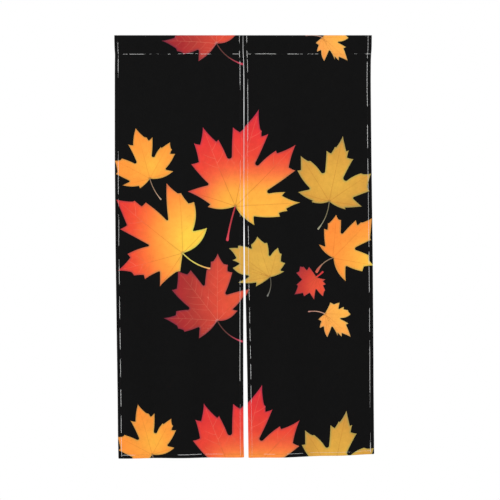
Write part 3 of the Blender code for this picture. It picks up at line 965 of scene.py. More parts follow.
def draw_common(drawing, panel, both_faces):
    """The cloth's border, the hems' and the tuck's edges, and the lines of stitches."""
    width, low, high = PANEL_WIDTH, -BACK_END, FRONT_END
    across = spaced(0.0, width, MESH_STEP)
    along = spaced(low, high, MESH_STEP)
    box = ((0.0, low), (width, high))
    corners = np.array([(0.0, low), (width, low), (width, high), (0.0, high)])
    for n in range(4):
        p, q = corners[n], corners[(n + 1) % 4]
        steps = np.linspace(0.0, 1.0, int(np.hypot(*(q - p)) / 0.004) + 1)[:, None]
        drawing.line(p + steps * (q - p), False, box)
    for offset in (-0.0013, 0.0, 0.0013):
        for side in ("left", "right"):
            line = panel.stitch_line(side, along) + offset
            u = line if side == "left" else width - line
            drawing.line(np.stack([u, along], axis=1), False, box)
        v = high - panel.foot_line(across) + offset
        drawing.line(np.stack([across, v], axis=1), False, box)
        seam = panel.seam_line(across) + SHIFT
        drawing.line(np.stack([across, seam + offset], axis=1), False, box)
        drawing.line(np.stack([across, offset - seam], axis=1), False, box)
    steps = (0.0, 0.0007) if both_faces else (-0.0002, 0.0007, 0.0015)
    for step in steps:
        for u in (HEM_WIDTH + step, width - HEM_WIDTH - step):
            drawing.line(np.array([(u, v) for v in along]), False, box)
        drawing.line(np.array([(u, high - HEM_WIDTH - step) for u in across]), False, box)
    if both_faces:
        for step in (0.0, 0.0007):
            v = low + TUCK_WIDTH + step
            drawing.line(np.array([(u, v) for u in across]), False, box)


def beside_veins(panel, shapes, box, mirrored=None):
    """Loose points a little to either side of every vein, so it stays thin and even."""
    found = []
    for shape in shapes:
        if shape.kind != "blade":
            continue
        for line, _ in shape.leaf.veins + shape.leaf.branches:
            middle = 0.5 * (line[1:] + line[:-1])
            run = line[1:] - line[:-1]
            run /= np.maximum(np.linalg.norm(run, axis=1, keepdims=True), 1e-9)
            across = np.stack([-run[:, 1], run[:, 0]], axis=1)
            for way in (-2.1, 2.1):
                found.append(middle + way * across + shape.shift)
    points = np.concatenate(found)
    u, v = panel.flat_of(points[:, 0], points[:, 1])
    if mirrored:
        u, v = mirrored(u, v)
    inside = ((u > box[0][0] + 0.001) & (u < box[1][0] - 0.001)
              & (v > box[0][1] + 0.001) & (v < box[1][1] - 0.001))
    return np.stack([u[inside], v[inside]], axis=1)


def even_points(panel):
    width = PANEL_WIDTH
    across = spaced(0.0, width, MESH_STEP)
    along = list(spaced(QUARTER, FRONT_END, MESH_STEP)) + list(spaced(-QUARTER, -BACK_END, MESH_STEP))
    along += list(np.linspace(-QUARTER, QUARTER, 13)[1:-1])
    edge = [0.0011, 0.0034, 0.0062]
    points = [(u, v) for v in along for u in list(across[1:-1]) + edge + [width - e for e in edge]]
    points += [(u, FRONT_END - e) for u in across[1:-1] for e in edge]
    points += [(u, s * (POCKET_DROP + SHIFT + e)) for u in across[1:-1]
               for s in (-1, 1) for e in (-0.0034, 0.0034)]
    return [p for p in points if -BACK_END < p[1] < FRONT_END]


def draw_shapes(drawing, panel, shapes, box, mirrored=None):
    """The leaves' outlines and veins, as much as shows in the box.

    mirrored is a function that folds the flat cloth over an edge.
    """
    for shape in shapes:
        lines = [(shape.outline, True)]
        if shape.kind == "blade":
            lines += [(line + shape.shift, False)
                      for line, _ in shape.leaf.veins + shape.leaf.branches]
        for line, closed in lines:
            u, v = panel.flat_of(line[:, 0], line[:, 1])
            if mirrored:
                u, v = mirrored(u, v)
            if u.max() < box[0][0] or u.min() > box[1][0]:
                continue
            if v.max() < box[0][1] or v.min() > box[1][1]:
                continue
            drawing.line(np.stack([u, v], axis=1), closed, box)


GROUND = (0.0043, 0.0043, 0.0044)


def painted(panel, shapes, points, faces, mirrored=None):
    """Colour and marks for each corner: leaf or ground, veins, tone and rim."""
    corners = points[faces]
    u, v = corners[..., 0], corners[..., 1]
    if mirrored:
        u, v = mirrored(u, v)
    across, down = panel.print_of(u, v)
    at = np.stack([across, down], axis=-1)
    middle = at.mean(axis=1)
    colour = np.empty(at.shape[:2] + (4,))
    colour[..., :3], colour[..., 3] = GROUND, 0.0
    marks = np.zeros(at.shape[:2] + (4,))
    marks[..., 0], marks[..., 2], marks[..., 3] = 9.0, 9.0, 9.0
    for shape in shapes:
        inside = shape.contains(middle)
        if not inside.any():
            continue
        here = at[inside] - shape.shift
        if shape.kind == "stem":
            colour[inside, :, :3] = shape.leaf.stem_wash(here)
            colour[inside, :, 3] = 1.0
            marks[inside] = (9.0, 0.5, 9.0, 9.0)
            continue
        ink, tone = shape.leaf.wash(here)
        colour[inside, :, :3] = ink
        colour[inside, :, 3] = 1.0
        flat = here.reshape(-1, 2)
        marks[inside, :, 0] = distance_to(flat, shape.leaf.veins).reshape(here.shape[:2])
        marks[inside, :, 3] = distance_to(flat, shape.leaf.branches).reshape(here.shape[:2])
        marks[inside, :, 1] = tone
        loop = np.concatenate([shape.leaf.outline, shape.leaf.outline[:1]])
        rim = distance_to(flat, [(loop, np.full(len(loop), min(1.0, shape.leaf.size / 210.0)))])
        marks[inside, :, 2] = rim.reshape(here.shape[:2])
    return colour, marks


def perimeter(points):
    """Indices of the points on the flat cloth's border, in order round it, and where."""
    width, low, high = PANEL_WIDTH, -BACK_END, FRONT_END
    u, v = points[:, 0], points[:, 1]
    tall = high - low
    near = 2e-7
    where = np.full(len(points), -1.0)
    where = np.where(np.abs(v - low) < near, u, where)
    where = np.where(np.abs(u - width) < near, width + v - low, where)
    where = np.where((np.abs(v - high) < near), width + tall + width - u, where)
    where = np.where((np.abs(u) < near) & (v > low + near), 2 * width + tall + high - v, where)
    on = np.flatnonzero(where >= 0.0)
    order = on[np.argsort(where[on])]
    return order, where[order]


def zipped(one, at_one, two, at_two):
    """Triangles between two closed rings whose points stand at different places."""
    faces, i, j = [], 0, 0
    n, m = len(one), len(two)
    total = 2.0 * (PANEL_WIDTH + FRONT_END + BACK_END)
    while i < n or j < m:
        next_one = at_one[i + 1] if i + 1 < n else at_one[0] + total
        next_two = at_two[j + 1] if j + 1 < m else at_two[0] + total
        if j >= m or (i < n and next_one <= next_two):
            faces.append((one[i % n], one[(i + 1) % n], two[j % m]))
            i += 1
        else:
            faces.append((one[i % n], two[(j + 1) % m], two[j % m]))
            j += 1
    return faces


def cloth_piece(panel, shapes, printed, reverse):
    width, low, high = PANEL_WIDTH, -BACK_END, FRONT_END
    whole = ((0.0, low), (width, high))
    front = Drawing()
    draw_common(front, panel, False)
    draw_shapes(front, panel, shapes, whole)
    front.fill(beside_veins(panel, shapes, whole), 0.0011)
    front.fill(even_points(panel), 0.0021)
    front_points, front_faces = front.mesh()
    front_colour, front_marks = painted(panel, shapes, front_points, front_faces)

    middle = ((HEM_WIDTH, low), (width - HEM_WIDTH, high - HEM_WIDTH))
    folded = (
        (((0.0, low), (HEM_WIDTH, high - HEM_WIDTH)), lambda u, v: (-u, v)),
        (((width - HEM_WIDTH, low), (width, high - HEM_WIDTH)), lambda u, v: (2 * width - u, v)),
        (((0.0, high - HEM_WIDTH), (width, high)), lambda u, v: (u, 2 * high - v)),
    )
    back = Drawing()
    draw_common(back, panel, True)
    draw_shapes(back, panel, shapes, middle)
    for box, fold in folded:
        draw_shapes(back, panel, shapes, box, fold)
    back.fill(beside_veins(panel, shapes, middle), 0.0011)
    back.fill(even_points(panel), 0.0021)
    back_points, back_faces = back.mesh()
    back_colour, back_marks = painted(panel, shapes, back_points, back_faces)
    centre = back_points[back_faces].mean(axis=1)
    turned = np.zeros(len(back_faces), dtype=bool)
    for box, fold in folded:
        on = ((centre >= box[0]) & (centre <= box[1])).all(axis=1)
        colour, marks = painted(panel, shapes, back_points, back_faces[on], fold)
        back_colour[on], back_marks[on] = colour, marks
        turned |= on

    ring_front, at_front = perimeter(front_points)
    ring_back, at_back = perimeter(back_points)

    def inside(points):
        return (np.clip(points[:, 0], EDGE_ROUND, width - EDGE_ROUND),
                np.clip(points[:, 1], low + EDGE_ROUND, high - EDGE_ROUND))

    top, _ = panel.outer(*inside(front_points))
    under, _ = panel.inner(*inside(back_points))
    u, v = inside(front_points[ring_front])
    a, normal = panel.outer(u, v)
    b, _ = panel.inner(u, v)
    inward = np.stack([np.clip(u, 0.002, width - 0.002) - u,
                       np.clip(v, low + 0.002, high - 0.002) - v], axis=1)
    c, _ = panel.outer(u + inward[:, 0], v + inward[:, 1])
    out = a - c
    out -= normal * np.sum(out * normal, axis=1, keepdims=True)
    out /= np.maximum(np.linalg.norm(out, axis=1, keepdims=True), 1e-9)
    edge = 0.5 * (a + b) + out * EDGE_ROUND
    under_start, edge_start = len(top), len(top) + len(under)
    places = np.concatenate([top, under, edge])
    ring_edge = edge_start + np.arange(len(edge))
    rim = zipped(ring_front, at_front, ring_edge, at_front)
    rim += zipped(ring_edge, at_front, under_start + ring_back, at_back)
    faces = np.concatenate([front_faces[:, ::-1], back_faces + under_start, np.array(rim)])
    flat = np.concatenate([front_points, back_points, front_points[ring_front]])

    # The rim is the folded edge, so it takes the print that is on the edge.
    nudge = flat[np.array(rim)]
    nudge = np.stack([np.clip(nudge[..., 0], 2e-5, width - 2e-5),
                      np.clip(nudge[..., 1], low + 2e-5, high - 2e-5)], axis=-1)
    rim_colour, rim_marks = painted(
        panel, shapes, nudge.reshape(-1, 2), np.arange(3 * len(rim)).reshape(-1, 3))
    colour = np.concatenate([front_colour[:, ::-1], back_colour, rim_colour])
    marks = np.concatenate([front_marks[:, ::-1], back_marks, rim_marks])
    material = np.concatenate([np.zeros(len(front_faces), int), np.where(turned, 0, 1),
                               np.zeros(len(rim), int)])

    mesh = bpy.data.meshes.new("cloth_" + panel.name)
    mesh.vertices.add(len(places))
    mesh.vertices.foreach_set("co", places.astype(np.float32).ravel())
    mesh.loops.add(3 * len(faces))
    mesh.loops.foreach_set("vertex_index", faces.astype(np.int32).ravel())
    mesh.polygons.add(len(faces))
    mesh.polygons.foreach_set("loop_start", np.arange(0, 3 * len(faces), 3, dtype=np.int32))
    mesh.polygons.foreach_set("loop_total", np.full(len(faces), 3, dtype=np.int32))
    mesh.polygons.foreach_set("use_smooth", np.ones(len(faces), dtype=bool))
    mesh.update(calc_edges=True)
    mesh.materials.append(printed)
    mesh.materials.append(reverse)
    mesh.polygons.foreach_set("material_index", material.astype(np.int32))
    layer = mesh.color_attributes.new("print", "FLOAT_COLOR", "CORNER")
    layer.data.foreach_set("color", colour.astype(np.float32).ravel())
    layer = mesh.color_attributes.new("marks", "FLOAT_COLOR", "CORNER")
    layer.data.foreach_set("color", marks.astype(np.float32).ravel())
    layer = mesh.attributes.new("flat", "FLOAT_VECTOR", "POINT")
    layer.data.foreach_set("vector", np.concatenate(
        [flat, np.zeros((len(flat), 1))], axis=1).astype(np.float32).ravel())

    # The map for anyone who bakes the piece: the front and the back side by side.
    tall = high - low
    scale = 0.97 / tall
    loops = flat[faces.ravel()]
    is_back = np.repeat(np.concatenate([np.zeros(len(front_faces), bool),
                                        np.ones(len(back_faces), bool),
                                        np.zeros(len(rim), bool)]), 3)
    uv = np.stack([0.02 + loops[:, 0] * scale + np.where(is_back, 0.32, 0.0),
                   0.985 - (loops[:, 1] - low) * scale], axis=1)
    mesh.uv_layers.new(name="OFBake").uv.foreach_set("vector", uv.astype(np.float32).ravel())
    piece = bpy.data.objects.new("cloth_" + panel.name, mesh)
    bpy.context.scene.collection.objects.link(piece)
    return piece


# --------------------------------------------------------------- the stitches

STITCH_PITCH = 0.0031
STITCH_LENGTH = 0.0029

# Where white thread shows on the front, one row for each run of it. from and
# to are millimetres down the panel, or across it from its left edge on the
# seam and the foot. show is 0, hardly, to 1, in full. Where beat is 1, the
# thread is drawn in a little at every fourth stitch.
LEFT_RUNS = {
    "outer": (
        # from, to, show, beat
        (25, 42, 0.60, 1), (45, 62, 0.85, 1), (67, 79, 0.20, 0), (79, 126, 1.00, 0),
        (126, 143, 0.08, 0), (389, 415, 0.15, 0), (415, 463, 0.80, 0), (463, 533, 0.98, 1),
        (550, 577, 0.12, 0), (601, 621, 0.18, 0), (621, 708, 0.85, 0), (755, 776, 0.34, 0),
        (776, 836, 1.10, 0), (877, 890, 0.36, 0), (890, 951, 0.98, 0), (984, 998, 0.40, 0),
        (998, 1055, 1.28, 1), (1089, 1099, 0.60, 0), (1099, 1146, 0.94, 0),
        (1190, 1247, 1.25, 1), (1277, 1287, 0.40, 0), (1287, 1335, 1.22, 0),
        (1351, 1419, 0.92, 0),
    ),
    "inner": (
        (1, 25, 0.73, 1), (52, 75, 1.00, 1), (86, 166, 0.98, 1), (166, 187, 0.08, 0),
        (422, 611, 0.22, 0), (705, 799, 0.12, 0), (826, 840, 0.90, 1), (850, 893, 0.68, 0),
        (893, 1163, 1.15, 0), (1240, 1331, 0.08, 0), (1331, 1419, 0.35, 0),
    ),
    "foot": (
        (14, 56, 0.86, 0), (206, 286, 0.98, 0), (300, 360, 0.36, 0),
    ),
    "seam": (
        (28, 32, 0.60, 0), (36, 42, 0.70, 0), (50, 98, 0.88, 0), (117, 124, 0.10, 0),
        (140, 147, 0.10, 0), (179, 185, 0.75, 0), (213, 223, 0.60, 0), (229, 236, 0.75, 0),
        (243, 263, 0.85, 0), (272, 278, 0.85, 0), (288, 322, 0.70, 1), (396, 419, 0.85, 0),
    ),
}
RIGHT_RUNS = {
    "inner": (
        (1, 25, 1.15, 1), (52, 75, 1.35, 1), (82, 123, 0.97, 0), (149, 166, 0.12, 0),
        (166, 355, 1.05, 0), (355, 473, 0.10, 0), (473, 611, 0.18, 0), (611, 628, 0.75, 0),
        (641, 705, 0.98, 1), (712, 809, 0.46, 0), (813, 840, 0.08, 0), (840, 890, 1.00, 1),
        (917, 931, 0.32, 0), (931, 968, 1.08, 1), (988, 1028, 1.28, 1), (1045, 1089, 0.78, 1),
        (1106, 1156, 1.25, 1), (1180, 1237, 0.90, 0), (1237, 1419, 0.12, 0),
    ),
    "outer": (
        (1, 79, 0.65, 1), (89, 240, 1.08, 1), (304, 382, 1.08, 1), (419, 459, 1.00, 0),
        (459, 496, 0.85, 0), (503, 527, 0.84, 0), (533, 718, 0.76, 0), (735, 776, 1.20, 0),
        (786, 870, 1.08, 0), (927, 1005, 1.00, 0), (1035, 1058, 0.08, 0),
        (1058, 1173, 1.14, 0), (1173, 1213, 0.88, 1), (1217, 1264, 0.10, 0),
        (1351, 1382, 0.08, 0), (1382, 1419, 1.40, 0),
    ),
    "foot": (
        (52, 90, 0.50, 0), (134, 186, 0.54, 0), (214, 332, 0.22, 0), (334, 350, 0.32, 0),
        (368, 418, 0.28, 0),
    ),
    "seam": (
        (14, 26, 0.48, 0), (42, 110, 0.98, 0), (150, 186, 0.90, 1), (192, 199, 0.50, 0),
        (218, 223, 0.30, 0), (229, 235, 0.60, 0), (243, 251, 0.85, 0), (374, 384, 0.10, 0),
        (414, 430, 1.00, 0),
    ),
}
STITCH_BEAT = 10.9        # millimetres


def showing(runs, at):
    """How much white thread shows at a place, with soft ends to each run."""
    most = 0.0
    for begin, end, show, beat in runs:
        if begin - 2.0 < at < end + 2.0:
            inside = min(at - begin + 2.0, end + 2.0 - at) / 4.0
            pulled = 0.50 * beat * math.cos(2.0 * math.pi * (at - begin) / STITCH_BEAT)
            most = max(most, show * min(1.0, inside) * (1.0 - pulled))
    return most


def thread_piece(panel, runs, white, black):
    """All the stitches of one panel, front and back, as one mesh of thread."""
    width = PANEL_WIDTH
    starts = []          # u, v, run across, run along, radius, which face, colour

    def sew(kind, count, place, along_at, seed):
        for k in range(count):
            u0, v0 = place(k * STITCH_PITCH)
            u1, v1 = place(k * STITCH_PITCH + STITCH_LENGTH)
            show = showing(runs[kind], along_at(0.5 * (u0 + u1), 0.5 * (v0 + v1)))
            shake = chance(seed, k)
            show *= 0.88 + 0.24 * shake
            if show > 0.06:
                radius = 0.00016 + 0.00052 * min(show, 1.40)
                starts.append((u0, v0, u1, v1, radius, 1, 0, shake))
            else:
                starts.append((u0, v0, u1, v1, 0.00016, 1, 1, shake))
            starts.append((u0, v0, u1, v1, 0.00027, -1, 0, shake))

    def side_place(side, v_from):
        def place(run):
            v = v_from + run
            line = float(panel.stitch_line(side, np.array(v)))
            return (line if side == "left" else width - line), v
        return place

    v_from = -POCKET_DROP + 0.002
    count = int((FRONT_END - 0.004 - v_from) / STITCH_PITCH)
    for side in ("left", "right"):
        is_outer = (side == "left") == panel.left_is_outer
        sew("outer" if is_outer else "inner", count, side_place(side, v_from),
            lambda u, v: 1000.0 * (v - SHIFT) if v > 0 else -99.0,
            1.0 if side == "left" else 2.0)
    count = int((width - 0.004) / STITCH_PITCH)

    def foot_place(run):
        u = 0.002 + run
        return u, FRONT_END - float(panel.foot_line(np.array(u)))

    def seam_place(run):
        u = 0.002 + run
        return u, float(panel.seam_line(np.array(u))) + SHIFT

    sew("foot", count, foot_place, lambda u, v: 1000.0 * u, 3.0)
    sew("seam", count, seam_place, lambda u, v: 1000.0 * u, 4.0)

    rows = np.array(starts)
    u0, v0, u1, v1, radius, face, colour, shake = rows.T
    on_seam = np.zeros(len(rows), dtype=bool)
    on_seam[-2 * count:] = True
    # The pocket's stitches come out on the back of its back layer.
    behind_seam = on_seam & (face < 0)
    slant = (shake - 0.5) * 0.00030
    along = np.stack([u1 - u0, v1 - v0], axis=1)
    along /= np.linalg.norm(along, axis=1, keepdims=True)
    across = np.stack([-along[:, 1], along[:, 0]], axis=1)
    places = []
    spots = (0.0, 0.16, 0.5, 0.84, 1.0)
    rise = (-0.45, 0.30, 0.45, 0.30, -0.45)
    round_off = (0.55, 0.95, 1.0, 0.95, 0.55)
    for t in spots:
        u = u0 + (u1 - u0) * t + across[:, 0] * slant * (2 * t - 1)
        v = v0 + (v1 - v0) * t + across[:, 1] * slant * (2 * t - 1)
        v = np.where(behind_seam, -v, v)
        outer, normal = panel.outer(u, v)
        inner, _ = panel.inner(u, v)
        on_outer = (face > 0) | behind_seam
        point = np.where(on_outer[:, None], outer, inner)
        normal = np.where(on_outer[:, None], normal, -normal)
        places.append((point, normal))
    sides = 6
    points = np.empty((len(rows), len(spots), sides, 3))
    for k, (point, normal) in enumerate(places):
        before, after = places[max(k - 1, 0)][0], places[min(k + 1, len(places) - 1)][0]
        run = after - before
        run /= np.linalg.norm(run, axis=1, keepdims=True)
        side = np.cross(run, normal)
        side /= np.linalg.norm(side, axis=1, keepdims=True)
        centre = point + normal * (radius * rise[k])[:, None]
        for s in range(sides):
            a = 2.0 * math.pi * s / sides
            points[:, k, s] = centre + round_off[k] * radius[:, None] * (
                math.cos(a) * side + 0.62 * math.sin(a) * normal)
    faces = []
    for k in range(len(spots) - 1):
        for s in range(sides):
            t = (s + 1) % sides
            a, b = k * sides + s, k * sides + t
            c, d = (k + 1) * sides + t, (k + 1) * sides + s
            faces += [(a, b, c), (a, c, d)]
    last = (len(spots) - 1) * sides
    for s in range(1, sides - 1):
        faces += [(0, s + 1, s), (last, last + s, last + s + 1)]
    faces = np.array(faces)
    each = len(spots) * sides
    every = (faces[None] + each * np.arange(len(rows))[:, None, None]).reshape(-1, 3)
    mesh = bpy.data.meshes.new("stitches_" + panel.name)
    mesh.vertices.add(each * len(rows))
    mesh.vertices.foreach_set("co", points.astype(np.float32).ravel())
    mesh.loops.add(3 * len(every))
    mesh.loops.foreach_set("vertex_index", every.astype(np.int32).ravel())
    mesh.polygons.add(len(every))
    mesh.polygons.foreach_set("loop_start", np.arange(0, 3 * len(every), 3, dtype=np.int32))
    mesh.polygons.foreach_set("loop_total", np.full(len(every), 3, dtype=np.int32))
    mesh.polygons.foreach_set("use_smooth", np.ones(len(every), dtype=bool))
    mesh.update(calc_edges=True)
    mesh.materials.append(white)
    mesh.materials.append(black)
    mesh.polygons.foreach_set("material_index",
                              np.repeat(colour.astype(np.int32), len(faces)))
    mesh.flip_normals()
    piece = bpy.data.objects.new("stitches_" + panel.name, mesh)
    bpy.context.scene.collection.objects.link(piece)
    return piece


# ------------------------------------------------------------------ materials

class Nodes:
    """A material's nodes, made and joined in a few words."""

    def __init__(self, name):
        self.material = bpy.data.materials.new(name)
        self.material.use_nodes = True
        self.tree = self.material.node_tree
        self.shader = self.tree.nodes["Principled BSDF"]

    def add(self, kind, **settings):
        node = self.tree.nodes.new(kind)
        for key, value in settings.items():
            setattr(node, key, value)
        return node

    def join(self, out, into):
        self.tree.links.new(out, into)

    def math(self, operation, a, b=None, c=None):
        node = self.add("ShaderNodeMath", operation=operation)
        for n, value in enumerate((a, b, c)):
            if value is None:
                continue
            if isinstance(value, (int, float)):
                node.inputs[n].default_value = value
            else:
                self.join(value, node.inputs[n])
        return node.outputs[0]

    def between(self, value, low, high, to_low=0.0, to_high=1.0):
        node = self.add("ShaderNodeMapRange", interpolation_type="SMOOTHSTEP")
        self.join(value, node.inputs["Value"])
        for key, number in (("From Min", low), ("From Max", high),
                            ("To Min", to_low), ("To Max", to_high)):
            node.inputs[key].default_value = number
        return node.outputs[0]

    def mix(self, factor, a, b, blend="MIX"):
        node = self.add("ShaderNodeMix", data_type="RGBA", blend_type=blend)
        for socket, value in ((node.inputs[0], factor), (node.inputs[6], a), (node.inputs[7], b)):
            if isinstance(value, (int, float)):
                socket.default_value = value
            elif isinstance(value, tuple):
                socket.default_value = (*value[:3], 1.0)
            else:
                self.join(value, socket)
        return node.outputs[2]

    def noise(self, vector, scale, detail=2.0, rough=0.5):
        node = self.add("ShaderNodeTexNoise")
        self.join(vector, node.inputs["Vector"])
        node.inputs["Scale"].default_value = scale
        node.inputs["Detail"].default_value = detail
        node.inputs["Roughness"].default_value = rough
        return node.outputs["Fac"]

    def stretched(self, vector, x, y):
        node = self.add("ShaderNodeMapping")
        self.join(vector, node.inputs["Vector"])
        node.inputs["Scale"].default_value = (x, y, 1.0)
        return node.outputs[0]


WEAVE_PITCH = 0.00052     # between threads


def cloth_material(name, printed_side):
    """Plain-woven black cloth, printed on one side, with the print pale through it."""
    n = Nodes(name)
    flat = n.add("ShaderNodeAttribute", attribute_name="flat").outputs["Vector"]
    ink = n.add("ShaderNodeAttribute", attribute_name="print")
    marks = n.add("ShaderNodeSeparateColor")
    marks_layer = n.add("ShaderNodeAttribute", attribute_name="marks")
    n.join(marks_layer.outputs["Color"], marks.inputs[0])
    vein, tone, rim = marks.outputs[0], marks.outputs[1], marks.outputs[2]
    branch = marks_layer.outputs["Alpha"]
    leaf = ink.outputs["Alpha"]

    # the weave: threads over and under, each a little uneven
    place = n.add("ShaderNodeSeparateXYZ")
    n.join(flat, place.inputs[0])
    turn = math.pi / WEAVE_PITCH
    across = n.math("SINE", n.math("MULTIPLY", place.outputs[0], turn))
    along = n.math("SINE", n.math("MULTIPLY", place.outputs[1], turn))
    over = n.math("MULTIPLY", across, along)
    warp = n.noise(n.stretched(flat, 1.0, 0.035), 1500.0, 1.0)
    weft = n.noise(n.stretched(flat, 0.035, 1.0), 1500.0, 1.0)
    slub = n.math("ADD", warp, weft)

    # the print: veins, duller ink towards its edges, and ink that takes a little unevenly
    reddish = n.between(tone, 0.70, 1.0)
    dark_vein = n.mix(0.52, ink.outputs["Color"], (0.36, 0.095, 0.016))
    pale_vein = n.mix(0.44, ink.outputs["Color"], (0.92, 0.33, 0.22))
    vein_ink = n.mix(reddish, dark_vein, pale_vein)
    on_vein = n.math("MULTIPLY", n.between(vein, 0.50, 1.20, 1.0, 0.0), leaf)
    on_branch = n.math("MULTIPLY", n.between(branch, 0.50, 1.20, 1.0, 0.0), leaf)
    on_branch = n.math("MULTIPLY", on_branch, n.between(reddish, 0.0, 1.0, 0.22, 0.80))
    on_vein = n.math("MAXIMUM", n.math("MULTIPLY", on_vein, 0.85), on_branch)
    colour = n.mix(on_vein, ink.outputs["Color"], vein_ink)
    beside = n.math("MULTIPLY", n.between(vein, 1.0, 7.0, 1.0, 0.0), leaf)
    colour = n.mix(n.math("MULTIPLY", beside, 0.05), colour, (0.60, 0.16, 0.03), "MULTIPLY")
    at_rim = n.math("MULTIPLY", n.between(rim, 0.0, 8.0, 0.80, 0.0), leaf)
    colour = n.mix(at_rim, colour, (0.55, 0.93, 1.55), "MULTIPLY")
    uneven = n.between(n.noise(flat, 34.0, 3.0, 0.6), 0.30, 0.70, 0.955, 1.045)
    grain = n.between(slub, 0.75, 1.25, 0.965, 1.035)
    shade = n.math("MULTIPLY", uneven, grain)
    shade_colour = n.add("ShaderNodeCombineColor")
    for socket in shade_colour.inputs[:3]:
        n.join(shade, socket)
    colour = n.mix(1.0, colour, shade_colour.outputs[0], "MULTIPLY")
    if not printed_side:
        pale = n.mix(n.math("MULTIPLY", leaf, 0.62), (0.0135, 0.0132, 0.0130),
                     (0.055, 0.050, 0.047))
        colour = n.mix(n.math("MULTIPLY", leaf, 0.34), pale, colour)
    n.join(colour, n.shader.inputs["Base Color"])
    n.join(n.between(slub, 0.7, 1.3, 0.90, 0.80), n.shader.inputs["Roughness"])
    n.shader.inputs["Specular IOR Level"].default_value = 0.06
    n.shader.inputs["Sheen Weight"].default_value = 0.020 if printed_side else 0.04
    n.shader.inputs["Sheen Roughness"].default_value = 0.45
    n.shader.inputs["Sheen Tint"].default_value = (0.85, 0.86, 0.90, 1.0)

    height = n.math("ADD", n.math("MULTIPLY", over, 0.5), n.math("MULTIPLY", slub, 0.9))
    bump = n.add("ShaderNodeBump")
    bump.inputs["Strength"].default_value = 0.75
    bump.inputs["Distance"].default_value = 0.00009
    n.join(height, bump.inputs["Height"])
    soft = n.add("ShaderNodeBump")
    soft.inputs["Strength"].default_value = 0.35
    soft.inputs["Distance"].default_value = 0.0011
    n.join(n.noise(flat, 62.0, 3.0, 0.55), soft.inputs["Height"])
    n.join(soft.outputs[0], bump.inputs["Normal"])
    n.join(bump.outputs[0], n.shader.inputs["Normal"])
    return n.material


def thread_material(name, colour, shade_by):
    """Two-ply thread: its twist shows as fine slanting ridges, with painted shade in the grooves
    between them.
    """
    n = Nodes(name)
    where = n.add("ShaderNodeNewGeometry").outputs["Position"]
    twist = n.add("ShaderNodeTexWave", wave_type="BANDS", bands_direction="DIAGONAL")
    n.join(where, twist.inputs["Vector"])
    twist.inputs["Scale"].default_value = 620.0
    twist.inputs["Distortion"].default_value = 1.2
    twist.inputs["Detail"].default_value = 1.0
    soil = n.between(n.noise(where, 90.0, 2.0), 0.3, 0.7, 1.0 - shade_by, 1.0)
    # The colour is painted darker in the twist's grooves, where the bump sinks: painted shade. The
    # soil noise darkens it a little more at random.
    dark = tuple(c * 0.86 for c in colour)
    tint = n.mix(n.math("MULTIPLY", twist.outputs["Fac"], soil), dark, colour)
    n.join(tint, n.shader.inputs["Base Color"])
    n.join(n.between(twist.outputs["Fac"], 0.0, 1.0, 0.78, 0.62), n.shader.inputs["Roughness"])
    n.shader.inputs["Specular IOR Level"].default_value = 0.25
    n.shader.inputs["Sheen Weight"].default_value = 0.12
    bump = n.add("ShaderNodeBump")
    bump.inputs["Strength"].default_value = 0.6
    bump.inputs["Distance"].default_value = 0.00012
    n.join(twist.outputs["Fac"], bump.inputs["Height"])
    n.join(bump.outputs[0], n.shader.inputs["Normal"])
    return n.material


# -------------------------------------------------------------------- stage

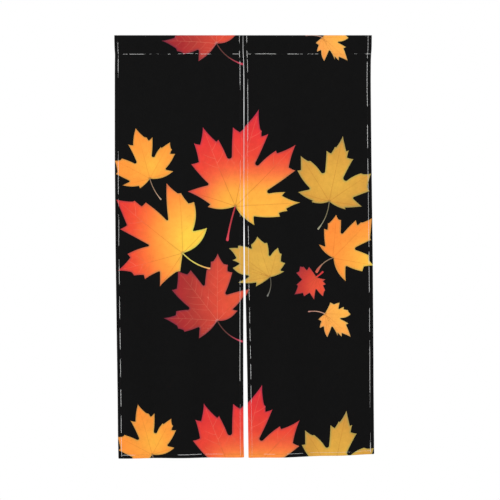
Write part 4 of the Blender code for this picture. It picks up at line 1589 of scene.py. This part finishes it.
def stage():
    scene = bpy.context.scene
    scene.view_settings.view_transform = "Standard"
    scene.view_settings.look = "None"
    scene.view_settings.exposure = 0.0
    scene.view_settings.gamma = 1.0

    world = bpy.data.worlds.new("soft_white")
    world.use_nodes = True
    tree = world.node_tree
    back = tree.nodes["Background"]
    back.inputs["Color"].default_value = (1.0, 1.0, 1.0, 1.0)
    seen = tree.nodes.new("ShaderNodeLightPath").outputs["Is Camera Ray"]
    level = tree.nodes.new("ShaderNodeMapRange")
    tree.links.new(seen, level.inputs["Value"])
    level.inputs["To Min"].default_value = 0.775
    level.inputs["To Max"].default_value = 1.0
    tree.links.new(level.outputs[0], back.inputs["Strength"])
    scene.world = world

    mesh = bpy.data.meshes.new("floor")
    bm = bmesh.new()
    bmesh.ops.create_grid(bm, x_segments=8, y_segments=8, size=1.0)
    bmesh.ops.scale(bm, vec=(5.0, 4.0, 1.0), verts=bm.verts)
    bm.to_mesh(mesh)
    bm.free()
    floor = bpy.data.objects.new("floor", mesh)
    floor.location = (0.0, 0.0, -2.0)
    bpy.context.scene.collection.objects.link(floor)
    n = Nodes("pale_floor")
    where = n.add("ShaderNodeNewGeometry").outputs["Position"]
    n.join(n.mix(n.noise(where, 3.0, 3.0), (0.80, 0.80, 0.79), (0.83, 0.83, 0.825)),
           n.shader.inputs["Base Color"])
    n.shader.inputs["Roughness"].default_value = 0.7
    mesh.materials.append(n.material)

    def lamp(name, place, aim, size, power):
        data = bpy.data.lights.new(name, "AREA")
        data.shape, data.size, data.size_y, data.energy = "RECTANGLE", size[0], size[1], power
        lamp = bpy.data.objects.new(name, data)
        lamp.location = place
        lamp.rotation_euler = (Vector(aim) - Vector(place)).to_track_quat("-Z", "Y").to_euler()
        bpy.context.scene.collection.objects.link(lamp)

    lamp("key", (-3.2, -4.2, 1.6), (0.0, 0.0, -0.7), (1.8, 1.8), 95.0)
    lamp("fill", (3.8, -3.4, 0.0), (0.0, 0.0, -0.7), (2.2, 2.6), 30.0)
    lamp("from_behind", (1.5, 4.6, 1.8), (0.0, 0.0, -0.6), (2.2, 1.6), 60.0)


PHOTO_WIDTH_AT_CLOTH = 1.6788    # metres across the frame, in the cloth's plane
CAMERA_AWAY = 10.0


def camera():
    data = bpy.data.cameras.new("camera")
    data.sensor_width = 36.0
    data.sensor_fit = "HORIZONTAL"
    data.lens = 36.0 * CAMERA_AWAY / PHOTO_WIDTH_AT_CLOTH
    data.clip_start, data.clip_end = 0.1, 100.0
    obj = bpy.data.objects.new("camera", data)
    obj.location = (0.0236, -CAMERA_AWAY, -0.7212)
    obj.rotation_euler = (math.radians(90.0), 0.0, 0.0)
    bpy.context.scene.collection.objects.link(obj)
    bpy.context.scene.camera = obj


# --------------------------------------------------------------------- build

def build():
    camera()
    stage()
    printed = cloth_material("printed_cloth_face", True)
    reverse = cloth_material("printed_cloth_back", False)
    white = thread_material("white_thread", (0.90, 0.90, 0.89), 0.06)
    black = thread_material("black_thread", (0.010, 0.010, 0.011), 0.20)
    left = Panel("left", LEFT_PANEL_EDGES, LEFT_PANEL_FOOT, LEFT_PANEL_FOLDS,
                 LEFT_PANEL_STITCH, True, 0.7)
    right = Panel("right", RIGHT_PANEL_EDGES, RIGHT_PANEL_FOOT, RIGHT_PANEL_FOLDS,
                  RIGHT_PANEL_STITCH, False, 3.1)
    for panel, runs in ((left, LEFT_RUNS), (right, RIGHT_RUNS)):
        cloth = cloth_piece(panel, all_shapes(panel), printed, reverse)
        thread = thread_piece(panel, runs, white, black)
        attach(cloth, "root")
        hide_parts("panel_" + panel.name)
        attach(thread, "root")


build()
